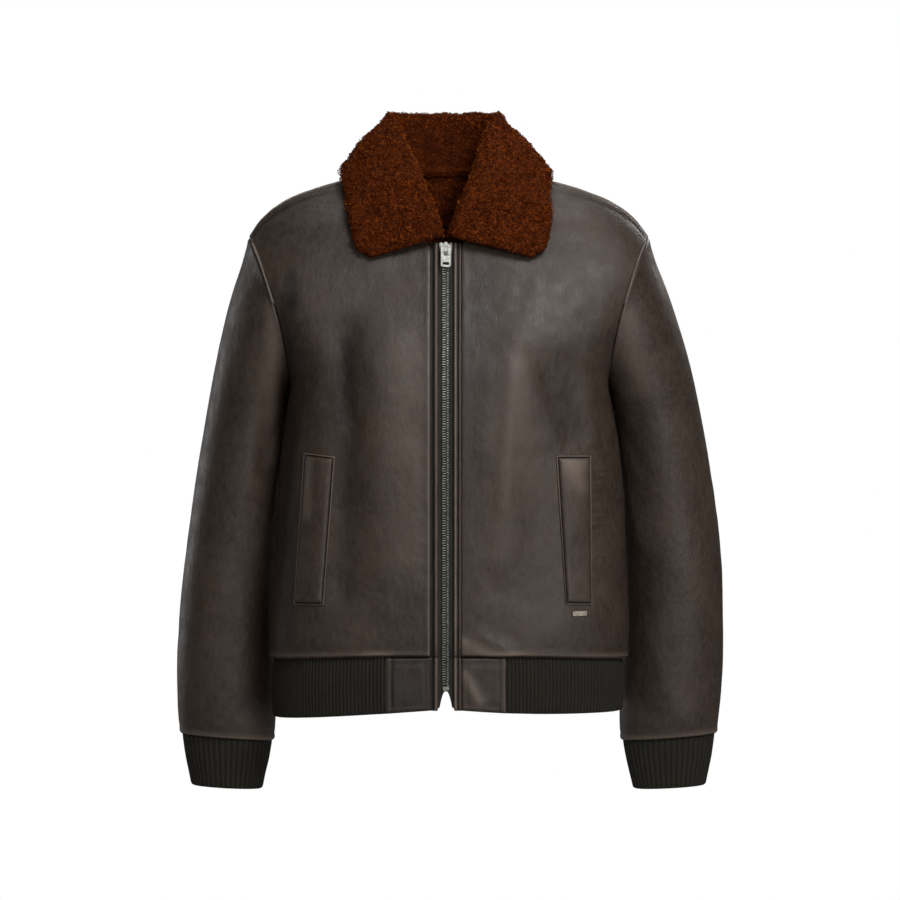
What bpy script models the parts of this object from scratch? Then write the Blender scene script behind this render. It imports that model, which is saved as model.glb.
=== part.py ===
"""A zipped leather jacket with a curled shearling collar, filled out as it is worn.

Metres, +Z up. The front faces -Y and the wearer's left is +X. The origin lies in the neck
hole, level with the base of the neck at its side and under the crest of the shoulders.
"""
import math
from collections import namedtuple

import bmesh
import bpy
from mathutils import Matrix, Vector

# ---- driving dimensions -------------------------------------------------------------------
SEAM_GAP = 0.0003            # between two pieces that are sewn together
SHEEPSKIN = 0.0055           # leather with its short pile on the inside
KNIT = 0.0042                # rib knit, two layers
PILE_COLLAR = 0.0110         # collar, leather to the tips of its curls
COLLAR_CLEARANCE = 0.0030    # between the fall of the collar and the body under it
LIFT = 0.0008                # what lies on a panel starts this far above it

ZIP_EDGE = 0.0185            # half the width of the two bands and the zip between them
TAPE_EDGE = 0.0090           # half the width of the zip that shows between the bands
HEM_BOTTOM_FRONT = -0.6460   # lower edge of the hem band at the zip
HEM_BOTTOM_SIDE = -0.6610    # and at the side
HEM_RISE_LEFT = 0.0080       # how much higher it hangs at the left side
HEM_RISE_BACK = 0.0210       # how much higher than the side it hangs at the back
TAB_EDGE = 0.0720            # where the leather tab ends and the rib begins
RIB_PITCH = 0.0047           # one rib and one furrow of the hem band
RIB_DEPTH = 0.0011
CUFF_RIBS = 46
BAND_CUT = (0.0015, 0.0060, 2.0)    # how far the band's lower corner is cut back, over what
TAPE_CUT = (0.0074, 0.0205, 0.5)    # height, and the power of the curve; then the tape's
BAND_PUFF = 0.0014
BAND_PROUD = 0.0002          # how far the bands stand in front of the panels
TAPE_SUNK = 0.0026           # how far the tape lies behind them
TAPE_THICKNESS = 0.0016
TAPE_SHORT = 0.0035          # how far above the bands' lower end the tape ends

ARMHOLE_MIDDLE = Vector((0.175, 0.002, -0.150))
ARMHOLE_BOTTOM_X = 0.1975
ARMHOLE_TOP_X = 0.2495
ARMHOLE_CENTRE_Z = -0.155
ARMHOLE_HALF_HEIGHT = 0.090
ARMHOLE_FRONT = 0.083
ARMHOLE_BACK = 0.090

# Side seam, from the hem up: x, y, z.
SIDE_SEAM = (
    (0.2190, -0.008, -0.589),
    (0.2235, -0.008, -0.573),
    (0.2228, -0.008, -0.525),
    (0.2185, -0.008, -0.455),
    (0.2150, -0.006, -0.380),
    (0.2080, -0.003, -0.310),
)

# Rows of the body, from the front hem over the shoulder to the back hem. Each runs from an
# inner point (beside the zip, on the neckline or at the middle of the back) to the side seam,
# or to the armhole at the angle given. lead is the y and z slope at its start, tail its
# direction at its end, and the pulls say how long it keeps to them, as shares of its length.
Row = namedtuple("Row", "angle inner lead tail pull_in pull_out")
BODY_ROWS = (
    Row(None, (0.0185, -0.1235, -0.5810), (0.00, 0.00), (0.00, 1.00, 0.00), 0.50, 0.34),
    Row(None, (0.0185, -0.1290, -0.5660), (0.00, 0.00), (0.00, 1.00, 0.00), 0.50, 0.34),
    Row(None, (0.0185, -0.1300, -0.5200), (0.00, 0.00), (0.00, 1.00, 0.00), 0.50, 0.34),
    Row(None, (0.0185, -0.1315, -0.4500), (0.00, 0.00), (0.00, 1.00, 0.00), 0.50, 0.34),
    Row(None, (0.0185, -0.1350, -0.3700), (0.00, 0.00), (0.00, 1.00, 0.00), 0.50, 0.36),
    Row(None, (0.0185, -0.1370, -0.3000), (0.00, 0.00), (0.00, 1.00, 0.00), 0.50, 0.40),
    Row(0, (0.0185, -0.1350, -0.2500), (0.00, 0.00), (0.00, 1.00, 0.06), 0.50, 0.44),
    Row(25, (0.0185, -0.1315, -0.2220), (0.00, 0.00), (0.02, 1.00, -0.04), 0.50, 0.38),
    Row(50, (0.0185, -0.1255, -0.1900), (0.00, 0.00), (0.20, 0.97, 0.00), 0.50, 0.28),
    Row(75, (0.0185, -0.1160, -0.1550), (0.00, 0.00), (0.48, 0.87, -0.05), 0.46, 0.20),
    Row(100, (0.0185, -0.1035, -0.1170), (0.00, 0.00), (0.68, 0.70, -0.18), 0.42, 0.18),
    Row(125, (0.0185, -0.0905, -0.0810), (0.02, 0.02), (0.78, 0.45, -0.42), 0.37, 0.24),
    Row(147, (0.0520, -0.0670, -0.0430), (-0.02, -0.02), (0.60, 0.20, -0.78), 0.38, 0.31),
    Row(166, (0.0840, -0.0120, 0.0130), (0.00, -0.23), (0.43, 0.02, -0.90), 0.40, 0.32),
    Row(182, (0.0790, 0.0170, 0.0145), (0.00, -0.22), (0.43, -0.02, -0.90), 0.40, 0.32),
    Row(205, (0.0500, 0.0490, 0.0175), (0.02, -0.14), (0.58, -0.18, -0.79), 0.38, 0.30),
    Row(230, (0.0000, 0.0650, 0.0180), (0.00, 0.00), (0.74, -0.45, -0.48), 0.36, 0.27),
    Row(255, (0.0000, 0.0830, -0.0250), (0.00, 0.00), (0.70, -0.68, -0.22), 0.40, 0.23),
    Row(280, (0.0000, 0.1050, -0.0750), (0.00, 0.00), (0.55, -0.83, -0.06), 0.44, 0.21),
    Row(305, (0.0000, 0.1200, -0.1300), (0.00, 0.00), (0.20, -0.97, 0.00), 0.50, 0.28),
    Row(332, (0.0000, 0.1275, -0.1900), (0.00, 0.00), (0.02, -1.00, -0.04), 0.50, 0.38),
    Row(360, (0.0000, 0.1270, -0.2500), (0.00, 0.00), (0.00, -1.00, 0.06), 0.50, 0.44),
    Row(None, (0.0000, 0.1200, -0.3100), (0.00, 0.00), (0.00, -1.00, 0.00), 0.50, 0.40),
    Row(None, (0.0000, 0.1120, -0.3790), (0.00, 0.00), (0.00, -1.00, 0.00), 0.50, 0.34),
    Row(None, (0.0000, 0.1090, -0.4500), (0.00, 0.00), (0.00, -1.00, 0.00), 0.50, 0.34),
    Row(None, (0.0000, 0.1130, -0.5130), (0.00, 0.00), (0.00, -1.00, 0.00), 0.50, 0.34),
    Row(None, (0.0000, 0.1170, -0.5560), (0.00, 0.00), (0.00, -1.00, 0.00), 0.50, 0.34),
    Row(None, (0.0000, 0.1120, -0.5720), (0.00, 0.00), (0.00, -1.00, 0.00), 0.50, 0.34),
)
UNDERARM_ROW = 6             # row numbers at which the seams lie
NECK_PIT_ROW = 11.3
SHOULDER_ROW = 13
BACK_UNDERARM_ROW = 21
BACK_HEM_ROW = 27

# Folds of the body: ends (x, z), half width and height; a trough has a minus height.
Fold = namedtuple("Fold", "x0 z0 x1 z1 width height")
FRONT_FOLDS = (
    Fold(-0.122, -0.190, -0.126, -0.500, 0.022, -0.0055),
    Fold(-0.060, -0.230, -0.058, -0.520, 0.030, 0.0035),
    Fold(0.092, -0.200, 0.060, -0.460, 0.024, 0.0055),
    Fold(0.142, -0.232, 0.160, -0.300, 0.022, -0.0070),
    Fold(0.118, -0.340, 0.112, -0.500, 0.026, -0.0035),
    Fold(0.022, -0.560, 0.075, -0.575, 0.009, 0.0030),
)
BACK_FOLDS = (
    Fold(-0.085, -0.250, -0.070, -0.470, 0.028, -0.0045),
    Fold(0.075, -0.220, 0.090, -0.450, 0.026, -0.0045),
    Fold(0.012, -0.330, 0.008, -0.540, 0.030, 0.0035),
)

# Rings of the sleeve, from the armhole to the cuff: outermost point (x, z), innermost point
# (x, z), y of the middle, depth in front of it and behind it.
Ring = namedtuple("Ring", "outer_x outer_z inner_x inner_z middle_y front back")
SLEEVE_RINGS = (
    Ring(0.2495, -0.0650, 0.1975, -0.2450, 0.002, 0.083, 0.090),
    Ring(0.2590, -0.0960, 0.1985, -0.2510, 0.006, 0.083, 0.088),
    Ring(0.2720, -0.1310, 0.1998, -0.2580, 0.011, 0.082, 0.085),
    Ring(0.2850, -0.1720, 0.2015, -0.2690, 0.017, 0.080, 0.082),
    Ring(0.2965, -0.2160, 0.2040, -0.2850, 0.023, 0.078, 0.079),
    Ring(0.3070, -0.2640, 0.2065, -0.3080, 0.029, 0.076, 0.077),
    Ring(0.3180, -0.3220, 0.2110, -0.3450, 0.035, 0.074, 0.075),
    Ring(0.3295, -0.3920, 0.2150, -0.4010, 0.042, 0.072, 0.072),
    Ring(0.3380, -0.4620, 0.2180, -0.4620, 0.046, 0.069, 0.069),
    Ring(0.3430, -0.5280, 0.2200, -0.5260, 0.049, 0.065, 0.065),
    Ring(0.3450, -0.5900, 0.2195, -0.5900, 0.051, 0.060, 0.060),
    Ring(0.3440, -0.6430, 0.2175, -0.6480, 0.052, 0.053, 0.053),
    Ring(0.3415, -0.6720, 0.2180, -0.6800, 0.052, 0.048, 0.048),
    Ring(0.3385, -0.6880, 0.2205, -0.6970, 0.052, 0.040, 0.040),
)
CUFF_TOP = Ring(0.3370, -0.6880, 0.2220, -0.6970, 0.052, 0.038, 0.038)
CUFF_BOTTOM = Ring(0.3255, -0.7530, 0.2345, -0.7580, 0.050, 0.030, 0.030)

# Sections of the collar from the middle of the back to the front end. seam is where the
# stand starts inside the neckline, fold the top of the roll, both on the pile side. The fall
# ends over the body at edge_row and edge_across. roll is the radius of the fold, and spread
# pushes the fall outwards.
Section = namedtuple("Section", "seam fold edge_row edge_across roll spread")
COLLAR_SECTIONS = (
    Section((0.0000, 0.0560, 0.0240), (0.0000, 0.0700, 0.0990), 16.78, 0.000, 0.0135, 0.012),
    Section((0.0300, 0.0510, 0.0235), (0.0330, 0.0650, 0.0985), 16.69, 0.122, 0.0140, 0.013),
    Section((0.0560, 0.0340, 0.0215), (0.0610, 0.0470, 0.0975), 16.46, 0.246, 0.0160, 0.018),
    Section((0.0690, 0.0120, 0.0200), (0.0690, 0.0220, 0.0945), 15.82, 0.325, 0.0165, 0.020),
    Section((0.0725, -0.0120, 0.0160), (0.0550, -0.0100, 0.0760), 13.70, 0.210, 0.0160, 0.020),
    Section((0.0640, -0.0380, -0.0080), (0.0405, -0.0430, 0.0400), 12.60, 0.262, 0.0140, 0.017),
    Section((0.0470, -0.0590, -0.0360), (0.0260, -0.0730, -0.0010), 11.90, 0.350, 0.0130, 0.014),
    Section((0.0270, -0.0750, -0.0590), (0.0090, -0.0930, -0.0400), 10.99, 0.408, 0.0125, 0.008),
    Section((0.0160, -0.0830, -0.0710), (0.0014, -0.0995, -0.0680), 10.54, 0.322, 0.0115, 0.004),
)

# Corners of the pocket welts on the front, x and z: upper inner, upper outer, lower outer,
# lower inner. The two are sewn at slightly different slants.
WELT_CORNERS = {
    -1: ((0.1370, -0.3400), (0.1710, -0.3360), (0.1835, -0.5170), (0.1505, -0.5170)),
    1: ((0.1360, -0.3390), (0.1745, -0.3390), (0.1765, -0.5170), (0.1470, -0.5160)),
}
WELT_HEIGHT = 0.0036
TAG_PLACE = (0.1626, -0.5293)
TAG_SIZE = (0.0200, 0.0060, 0.0009)

SLIDER_TOP = -0.0768         # height of the slider's upper edge
SLIDER_HALF = 0.0085         # half its length
SLIDER_WIDTH = 0.0172
SLIDER_TAIL = 0.0122         # its width at the lower end
SLIDER_BACK = 0.0023         # how deep it reaches under the face of the bands
SLIDER_FRONT = 0.0036        # and how far it stands in front of it
BRIDGE_WIDTH = 0.0036
BRIDGE_TOP = 0.0062          # ends of the bridge along the slider
BRIDGE_FOOT = -0.0066
BRIDGE_HEIGHT = 0.0046
BRIDGE_BAR = 0.0012
HINGE_ALONG = 0.0036         # where the pull's upper bar lies along the slider
HINGE_BAR = 0.0018
PULL_WIDTH = 0.0122
PULL_LENGTH = 0.0310
PULL_DEPTH = 0.0015
PULL_SLOT_WIDTH = 0.0050
PULL_SLOT_LENGTH = 0.0140
PULL_HOLE = (0.0080, 0.0040)
PULL_HOLE_UP = 0.0046        # middle of the hole above the pull's lower end
STOP_SIZE = (0.0082, 0.0036, 0.0050)
STOP_HEIGHT = -0.6190
RIDGE_WIDTH = 0.019          # share of the row that the ridge beside the armhole takes
RIDGE_HEIGHT = 0.0022
FRONT_RIDGE = (9.7, 12.2)    # rows between which it is sewn on
BACK_RIDGE = (15.2, 17.5)

# Share by which the left side hangs wider than the middle, at heights WIDENING_STEP apart.
WIDENING = (0.0020, 0.0125, 0.0168, 0.0265, 0.0305, 0.0312, 0.0283, 0.0213, 0.0145, 0.0095, 0.0095)
WIDENING_TOP = 0.040
WIDENING_STEP = 0.080
WIDENING_FROM = 0.10         # it starts this far from the middle
WIDENING_OVER = 0.15         # and is full after this much more
COLLAR_LEAN = 0.080          # sideways shift of the collar for each metre down
COLLAR_UPRIGHT = 0.015       # height at which it isn't shifted
STAND_PULL = 0.40            # how long the stand keeps to the direction of the roll
FALL_PULL = 0.35             # and the fall, as shares of their lengths
STAND_STEPS, ROLL_STEPS, FALL_STEPS = 3, 4, 5
SIDES = ((1, "left"), (-1, "right"))


# ---- materials ------------------------------------------------------------------------------
def finish(name, colour, roughness, metallic=0.0):
    """A plain material with one colour, roughness and metallic value."""
    material = bpy.data.materials.new(name)
    material.use_nodes = True
    shader = material.node_tree.nodes["Principled BSDF"]
    shader.inputs["Base Color"].default_value = (*colour, 1.0)
    shader.inputs["Roughness"].default_value = roughness
    shader.inputs["Metallic"].default_value = metallic
    return material


def clear_scene():
    for thing in list(bpy.data.objects):
        bpy.data.objects.remove(thing)


# ---- curves and surfaces --------------------------------------------------------------------
def spline(points, at):
    """Smooth curve through the points; at counts them, so 1.5 is half way from 1 to 2."""
    last = len(points) - 1
    i = min(max(int(at), 0), last - 1)
    f = at - i
    here, there = points[i], points[i + 1]
    before = points[i - 1] if i > 0 else here * 2 - there
    after = points[i + 2] if i + 2 <= last else there * 2 - here
    curve = here + (there - before) * (f / 2)
    curve += (before * 2 - here * 5 + there * 4 - after) * (f * f / 2)
    return curve + (here * 3 - before - there * 3 + after) * (f ** 3 / 2)


def bezier(points, t):
    """Bezier curve of three or four control points."""
    while len(points) > 1:
        points = [a.lerp(b, t) for a, b in zip(points, points[1:])]
    return points[0]


def smooth(t):
    t = min(max(t, 0.0), 1.0)
    return t * t * (3 - 2 * t)


def mirrored(point, side):
    """Point carried to one side; towards the sleeves the left side hangs a little wider."""
    share = spline(WIDENING, (WIDENING_TOP - point.z) / WIDENING_STEP)
    wider = 1 + side * share * smooth((abs(point.x) - WIDENING_FROM) / WIDENING_OVER)
    return Vector((point.x * side * wider, point.y, point.z))


def turned(vector, side):
    return Vector((vector.x * side, vector.y, vector.z))


def armhole_point(degrees):
    """Point of the armhole seam, counted from the underarm by the front to the back."""
    angle = math.radians(degrees)
    z = ARMHOLE_CENTRE_Z - ARMHOLE_HALF_HEIGHT * math.cos(angle)
    depth = ARMHOLE_FRONT if math.sin(angle) > 0 else ARMHOLE_BACK
    climb = (1 - math.cos(angle)) / 2
    x = ARMHOLE_BOTTOM_X + (ARMHOLE_TOP_X - ARMHOLE_BOTTOM_X) * climb ** 1.7
    return Vector((x, ARMHOLE_MIDDLE.y - depth * math.sin(angle), z))


ARMHOLE_ANGLES = [Vector((row.angle, 0)) for row in BODY_ROWS if row.angle is not None]
SIDE_POINTS = [Vector(point) for point in SIDE_SEAM] + [armhole_point(0)]
ROW_VALUES = [[Vector(value) for value in (row.inner, (1, *row.lead), row.tail)]
              + [Vector((row.pull_in, row.pull_out))] for row in BODY_ROWS]


def armhole_angle(at):
    return spline(ARMHOLE_ANGLES, at - UNDERARM_ROW).x


def edge_point(at):
    """Outer end of a row: on the side seam, or on the armhole between the underarm rows."""
    if UNDERARM_ROW <= at <= BACK_UNDERARM_ROW:
        return armhole_point(armhole_angle(at))
    return spline(SIDE_POINTS, min(at, BACK_HEM_ROW - at))


def fold_height(folds, x, z):
    """How far the folds lift the cloth at one place."""
    total = 0.0
    for fold in folds:
        along = Vector((fold.x1 - fold.x0, fold.z1 - fold.z0))
        offset = Vector((x - fold.x0, z - fold.z0))
        share = min(max(offset.dot(along) / along.length_squared, 0.0), 1.0)
        away = (offset - along * share).length / fold.width
        total += fold.height * math.exp(-away * away)
    return total


def half_point(at, across, side=1):
    """Body surface on the +X side: at counts the rows, across runs from 0 inside to 1."""
    start, lead, tail, pulls = (spline([row[k] for row in ROW_VALUES], at) for k in range(4))
    start.x = max(start.x, ZIP_EDGE if at <= SHOULDER_ROW else 0.0)
    end = edge_point(at)
    length = (end - start).length
    first = start + lead.normalized() * length * pulls.x
    second = end - tail.normalized() * length * pulls.y
    point = bezier((start, first, second, end), across)
    outer_fade = smooth((1 - across) * 5)
    if at < SHOULDER_ROW:
        lift = fold_height(FRONT_FOLDS, point.x * side, point.z)
        point.y -= lift * outer_fade * smooth(across * 5)
    else:
        point.y += fold_height(BACK_FOLDS, point.x * side, point.z) * outer_fade
    return point


def body_point(at, across, side=1):
    """Outer surface of the body on either side."""
    return mirrored(half_point(at, across, side), side)


def outward(at, across, side=1):
    """Unit normal of the body's outer surface."""
    step = 0.002
    across = min(max(across, step), 1 - step)
    at = min(max(at, step * 5), BACK_HEM_ROW - step * 5)
    over = body_point(at, across + step, side) - body_point(at, across - step, side)
    up = body_point(at + step * 5, across, side) - body_point(at - step * 5, across, side)
    return over.cross(up).normalized() * side


def front_at(x, z, side, lift=0.0):
    """Point over the front at a given x and z, lifted off the surface."""
    at, across = 3.0, 0.5
    for _ in range(24):
        here = body_point(at, across, side)
        over = (body_point(at, across + 0.01, side) - here) / 0.01
        up = (body_point(at + 0.05, across, side) - here) / 0.05
        across += (x - here.x * side) / (over.x * side) * 0.8
        at += (z - here.z) / up.z * 0.8
        across = min(max(across, 0.0), 0.98)
        at = min(max(at, 0.0), SHOULDER_ROW - 0.1)
    return body_point(at, across, side) + outward(at, across, side) * lift


def over_body(at, across, lift, side=1):
    """Point of the body moved out along its normal."""
    return body_point(at, across, side) + outward(at, across, side) * lift


def armhole_seam(at, side):
    """Seam point, shared inward direction and direction out along the sleeve."""
    point = edge_point(at)
    inward = (ARMHOLE_MIDDLE - point).normalized()
    low, high = max(at - 0.05, UNDERARM_ROW), min(at + 0.05, BACK_UNDERARM_ROW)
    along = edge_point(high) - edge_point(low)
    out = along.cross(inward).normalized()
    if out.x < 0:
        out = -out
    return mirrored(point, side), turned(inward, side), turned(out, side)


def ring_frame(ring):
    outer = Vector((ring.outer_x, ring.middle_y, ring.outer_z))
    inner = Vector((ring.inner_x, ring.middle_y, ring.inner_z))
    return (outer + inner) / 2, (outer - inner) / 2


def ring_point(ring, degrees):
    """Point of a ring, counted like the armhole: 0 innermost, 90 front, 180 outermost."""
    middle, half = ring_frame(ring)
    angle = math.radians(degrees)
    depth = ring.front if math.sin(angle) > 0 else ring.back
    return middle - half * math.cos(angle) - Vector((0, depth * math.sin(angle), 0))


def between_rings(at):
    """Ring at a number that may lie between two rows of the table."""
    return Ring(*(spline(column, at) for column in zip(*SLEEVE_RINGS)))


def sleeve_point(at, degrees, side=1):
    """Outer surface of the sleeve; its first ring is the armhole seam itself."""
    point = ring_point(between_rings(at), degrees)
    keep = (1 - smooth(at / 4)) ** 2
    if keep > 0:
        point += (armhole_point(degrees) - ring_point(SLEEVE_RINGS[0], degrees)) * keep
    return mirrored(point, side)


# ---- walls ----------------------------------------------------------------------------------
class Cloth:
    """Outer points and faces of one piece, thickened inwards into a closed wall."""

    def __init__(self):
        self.points = []
        self.inward = {}
        self.depth = {}
        self.faces = []
        self.known = {}

    def vertex(self, point, inward=None, depth=None):
        key = tuple(round(value, 6) for value in point)
        if key not in self.known:
            self.known[key] = len(self.points)
            self.points.append(Vector(point))
        number = self.known[key]
        if inward is not None:
            self.inward[number] = inward.normalized()
        if depth is not None:
            self.depth[number] = depth
        return number

    def grid(self, rows, flip=False):
        """Faces over rows of vertex numbers."""
        for low, high in zip(rows, rows[1:]):
            for a, b, c, d in zip(low, low[1:], high[1:], high):
                face = (d, c, b, a) if flip else (a, b, c, d)
                self.faces.append(face)

    def normals(self):
        sums = [Vector() for _ in self.points]
        for face in self.faces:
            a, b, c, d = (self.points[i] for i in face)
            normal = (c - a).cross(d - b)
            for i in face:
                sums[i] += normal
        return [total.normalized() for total in sums]

    def rim(self, a, b, count):
        """Two triangles over a free edge, cut alike on both sides of a seam."""
        if self.points[b].z > self.points[a].z:
            return [(b, a, a + count), (b, a + count, b + count)]
        return [(b, a, b + count), (a, a + count, b + count)]

    def build(self, name, thickness, material):
        """Object with the outer faces, the inner ones and a rim along every free edge."""
        count = len(self.points)
        inner = []
        for i, normal in enumerate(self.normals()):
            direction = self.inward.get(i, -normal)
            inner.append(self.points[i] + direction * self.depth.get(i, thickness))
        faces = list(self.faces) + [tuple(i + count for i in reversed(f)) for f in self.faces]
        edges = {}
        for face in self.faces:
            for a, b in zip(face, face[1:] + face[:1]):
                edges[(a, b)] = True
        for a, b in edges:
            if (b, a) not in edges:
                faces += self.rim(a, b, count)
        return mesh_object(name, self.points + inner, faces, material)


def mesh_object(name, points, faces, material, smooth_angle=50):
    mesh = bpy.data.meshes.new(name)
    mesh.from_pydata([tuple(point) for point in points], [], faces)
    mesh.materials.append(material)
    mesh.shade_smooth()
    mesh.set_sharp_from_angle(angle=math.radians(smooth_angle))
    thing = bpy.data.objects.new(name, mesh)
    bpy.context.collection.objects.link(thing)
    return thing


def direction_of(point, neighbour):
    return (neighbour - point).normalized()


def shoulder_inward(across, side):
    """Direction into the shoulder, square to the shoulder seam."""
    run = body_point(SHOULDER_ROW, min(across + 0.02, 1), side)
    run -= body_point(SHOULDER_ROW, max(across - 0.02, 0), side)
    return Vector((run.z, 0, -run.x)) * side


# ---- body -----------------------------------------------------------------------------------
PANEL_COLUMNS = 10


def row_numbers(first, last):
    """Rows at which a panel is sampled: finer round the armhole than below it."""
    numbers = []
    for i in range(first, last):
        numbers.append(float(i))
        if UNDERARM_ROW <= i < BACK_UNDERARM_ROW:
            numbers.append(i + 0.5)
    return numbers + [float(last)]


def level(vector):
    return Vector((vector.x, vector.y, 0)).normalized()


def panel_half(cloth, first, last, side):
    """Half of the body between two rows; returns the rows of vertex numbers."""
    rows = row_numbers(first, last)
    top_row, bottom_row = (SHOULDER_ROW, 0) if first == 0 else (SHOULDER_ROW, BACK_HEM_ROW)
    grid = []
    for at in rows:
        line = []
        for j in range(PANEL_COLUMNS + 1):
            across = j / PANEL_COLUMNS
            point = body_point(at, across, side)
            inward = None
            shift = Vector()
            if at == bottom_row:
                inward = -level(outward(at, across, side))
                shift += direction_of(point, body_point(abs(at - 0.1), across, side))
            elif at == top_row:
                inward = shoulder_inward(across, side)
                step = 0.1 if first else -0.1
                shift += direction_of(point, body_point(at + step, across, side))
            if j == PANEL_COLUMNS and UNDERARM_ROW <= at <= BACK_UNDERARM_ROW:
                seam, inward, out = armhole_seam(at, side)
                shift -= out
                if at in (UNDERARM_ROW, BACK_UNDERARM_ROW):
                    shift.y += 1 if first else -1
            elif j == PANEL_COLUMNS:
                inward = Vector((-side, 0, 0)) if inward is None else inward
                shift += direction_of(point, body_point(at, 1 - 0.02, side))
            if j == 0 and first == 0:
                inward = Vector((0, 1, 0)) if at < NECK_PIT_ROW else inward
                shift.x += side
            line.append(cloth.vertex(point + shift * (SEAM_GAP / 2), inward))
        grid.append(line)
    cloth.grid(grid, flip=side < 0)
    return grid


def make_fronts(leather):
    for side, word in SIDES:
        cloth = Cloth()
        panel_half(cloth, 0, SHOULDER_ROW, side)
        cloth.build("front_" + word, SHEEPSKIN, leather)


def make_back(leather):
    cloth = Cloth()
    for side, _ in SIDES:
        panel_half(cloth, SHOULDER_ROW, BACK_HEM_ROW, side)
    cloth.build("back", SHEEPSKIN, leather)


# ---- sleeves and cuffs ----------------------------------------------------------------------
def make_sleeves(leather):
    rows = row_numbers(UNDERARM_ROW, BACK_UNDERARM_ROW)[:-1]
    turns = [armhole_angle(at) for at in rows]
    last = len(SLEEVE_RINGS) - 1
    for side, word in SIDES:
        cloth = Cloth()
        grid = []
        for ring in range(last + 1):
            line = []
            for at, turn in zip(rows, turns):
                inward = None
                point = sleeve_point(ring, turn, side)
                if ring == 0:
                    point, inward, out = armhole_seam(at, side)
                    point = point + out * (SEAM_GAP / 2)
                if ring == last:
                    middle, _ = ring_frame(SLEEVE_RINGS[-1])
                    inward = mirrored(middle, side) - point
                line.append(cloth.vertex(point, inward))
            grid.append(line + line[:1])
        cloth.grid(grid, flip=side > 0)
        cloth.build("sleeve_" + word, SHEEPSKIN, leather)


def cuff_ring(down):
    """Ring of the rib cuff, from 0 at its seam to 1 at its lower edge."""
    return Ring(*(a + (b - a) * down for a, b in zip(CUFF_TOP, CUFF_BOTTOM)))


def make_cuffs(knit):
    for side, word in SIDES:
        cloth = Cloth()
        grid = []
        for down in (0.010, 1.0):
            ring = cuff_ring(down)
            middle, _ = ring_frame(ring)
            line = []
            for k in range(CUFF_RIBS * 2):
                turn = 360 * k / (CUFF_RIBS * 2)
                point = mirrored(ring_point(ring, turn), side)
                inward = (mirrored(middle, side) - point).normalized()
                sink = RIB_DEPTH if k % 2 else 0.0
                line.append(cloth.vertex(point + inward * sink, inward, KNIT - sink))
            grid.append(line + line[:1])
        cloth.grid(grid, flip=side > 0)
        cloth.build("cuff_" + word, KNIT, knit)


# ---- hem ------------------------------------------------------------------------------------
def hem_outline(inset=0.0):
    """Half of the hem seam from the zip round to the middle of the back, moved inwards."""
    places = [(0, j / 60) for j in range(61)] + [(BACK_HEM_ROW, 1 - j / 60) for j in range(1, 61)]
    points = []
    for at, across in places:
        points.append(body_point(at, across) - level(outward(at, across)) * inset)
    return points


def measured(points):
    """Distance along the points up to each of them."""
    lengths = [0.0]
    for a, b in zip(points, points[1:]):
        lengths.append(lengths[-1] + (b - a).length)
    return lengths


def along_line(points, lengths, distance):
    """Point and direction at a distance along a line of points."""
    i = 1
    while i < len(points) - 1 and lengths[i] < distance:
        i += 1
    share = (distance - lengths[i - 1]) / (lengths[i] - lengths[i - 1])
    near = (points[i] - points[max(i - 2, 0)]).normalized()
    far = (points[min(i + 1, len(points) - 1)] - points[i - 1]).normalized()
    return points[i - 1].lerp(points[i], share), near.lerp(far, share).normalized()


def hem_bottom(point, side):
    """Height of the hem band's lower edge under a point of its seam."""
    side_x, side_y, _ = SIDE_SEAM[0]
    share = 1.0 if point.y > side_y else (point.x - ZIP_EDGE) / (side_x - ZIP_EDGE)
    rise = HEM_RISE_LEFT * share * smooth(point.x / side_x) if side > 0 else 0.0
    rise += HEM_RISE_BACK * smooth((point.y - side_y) / (BODY_ROWS[-1].inner[1] - side_y))
    return HEM_BOTTOM_FRONT + (HEM_BOTTOM_SIDE - HEM_BOTTOM_FRONT) * share + rise


def hem_column(cloth, point, inward, side, sink, inset=0.0):
    """Vertices of one column of the hem band, top and bottom."""
    numbers = []
    bottom = hem_bottom(point, side)
    for down in (0.0, 1.0):
        place = Vector(point)
        place.z = point.z - SEAM_GAP + (bottom - point.z) * down
        place += inward * (sink + inset)
        numbers.append(cloth.vertex(mirrored(place, side), turned(inward, side), KNIT - sink))
    return numbers


def tab_distance(points, lengths):
    """Distance along the hem at which the leather tab ends."""
    for point, length in zip(points, lengths):
        if point.x >= TAB_EDGE:
            return length
    return lengths[-1]


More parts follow.
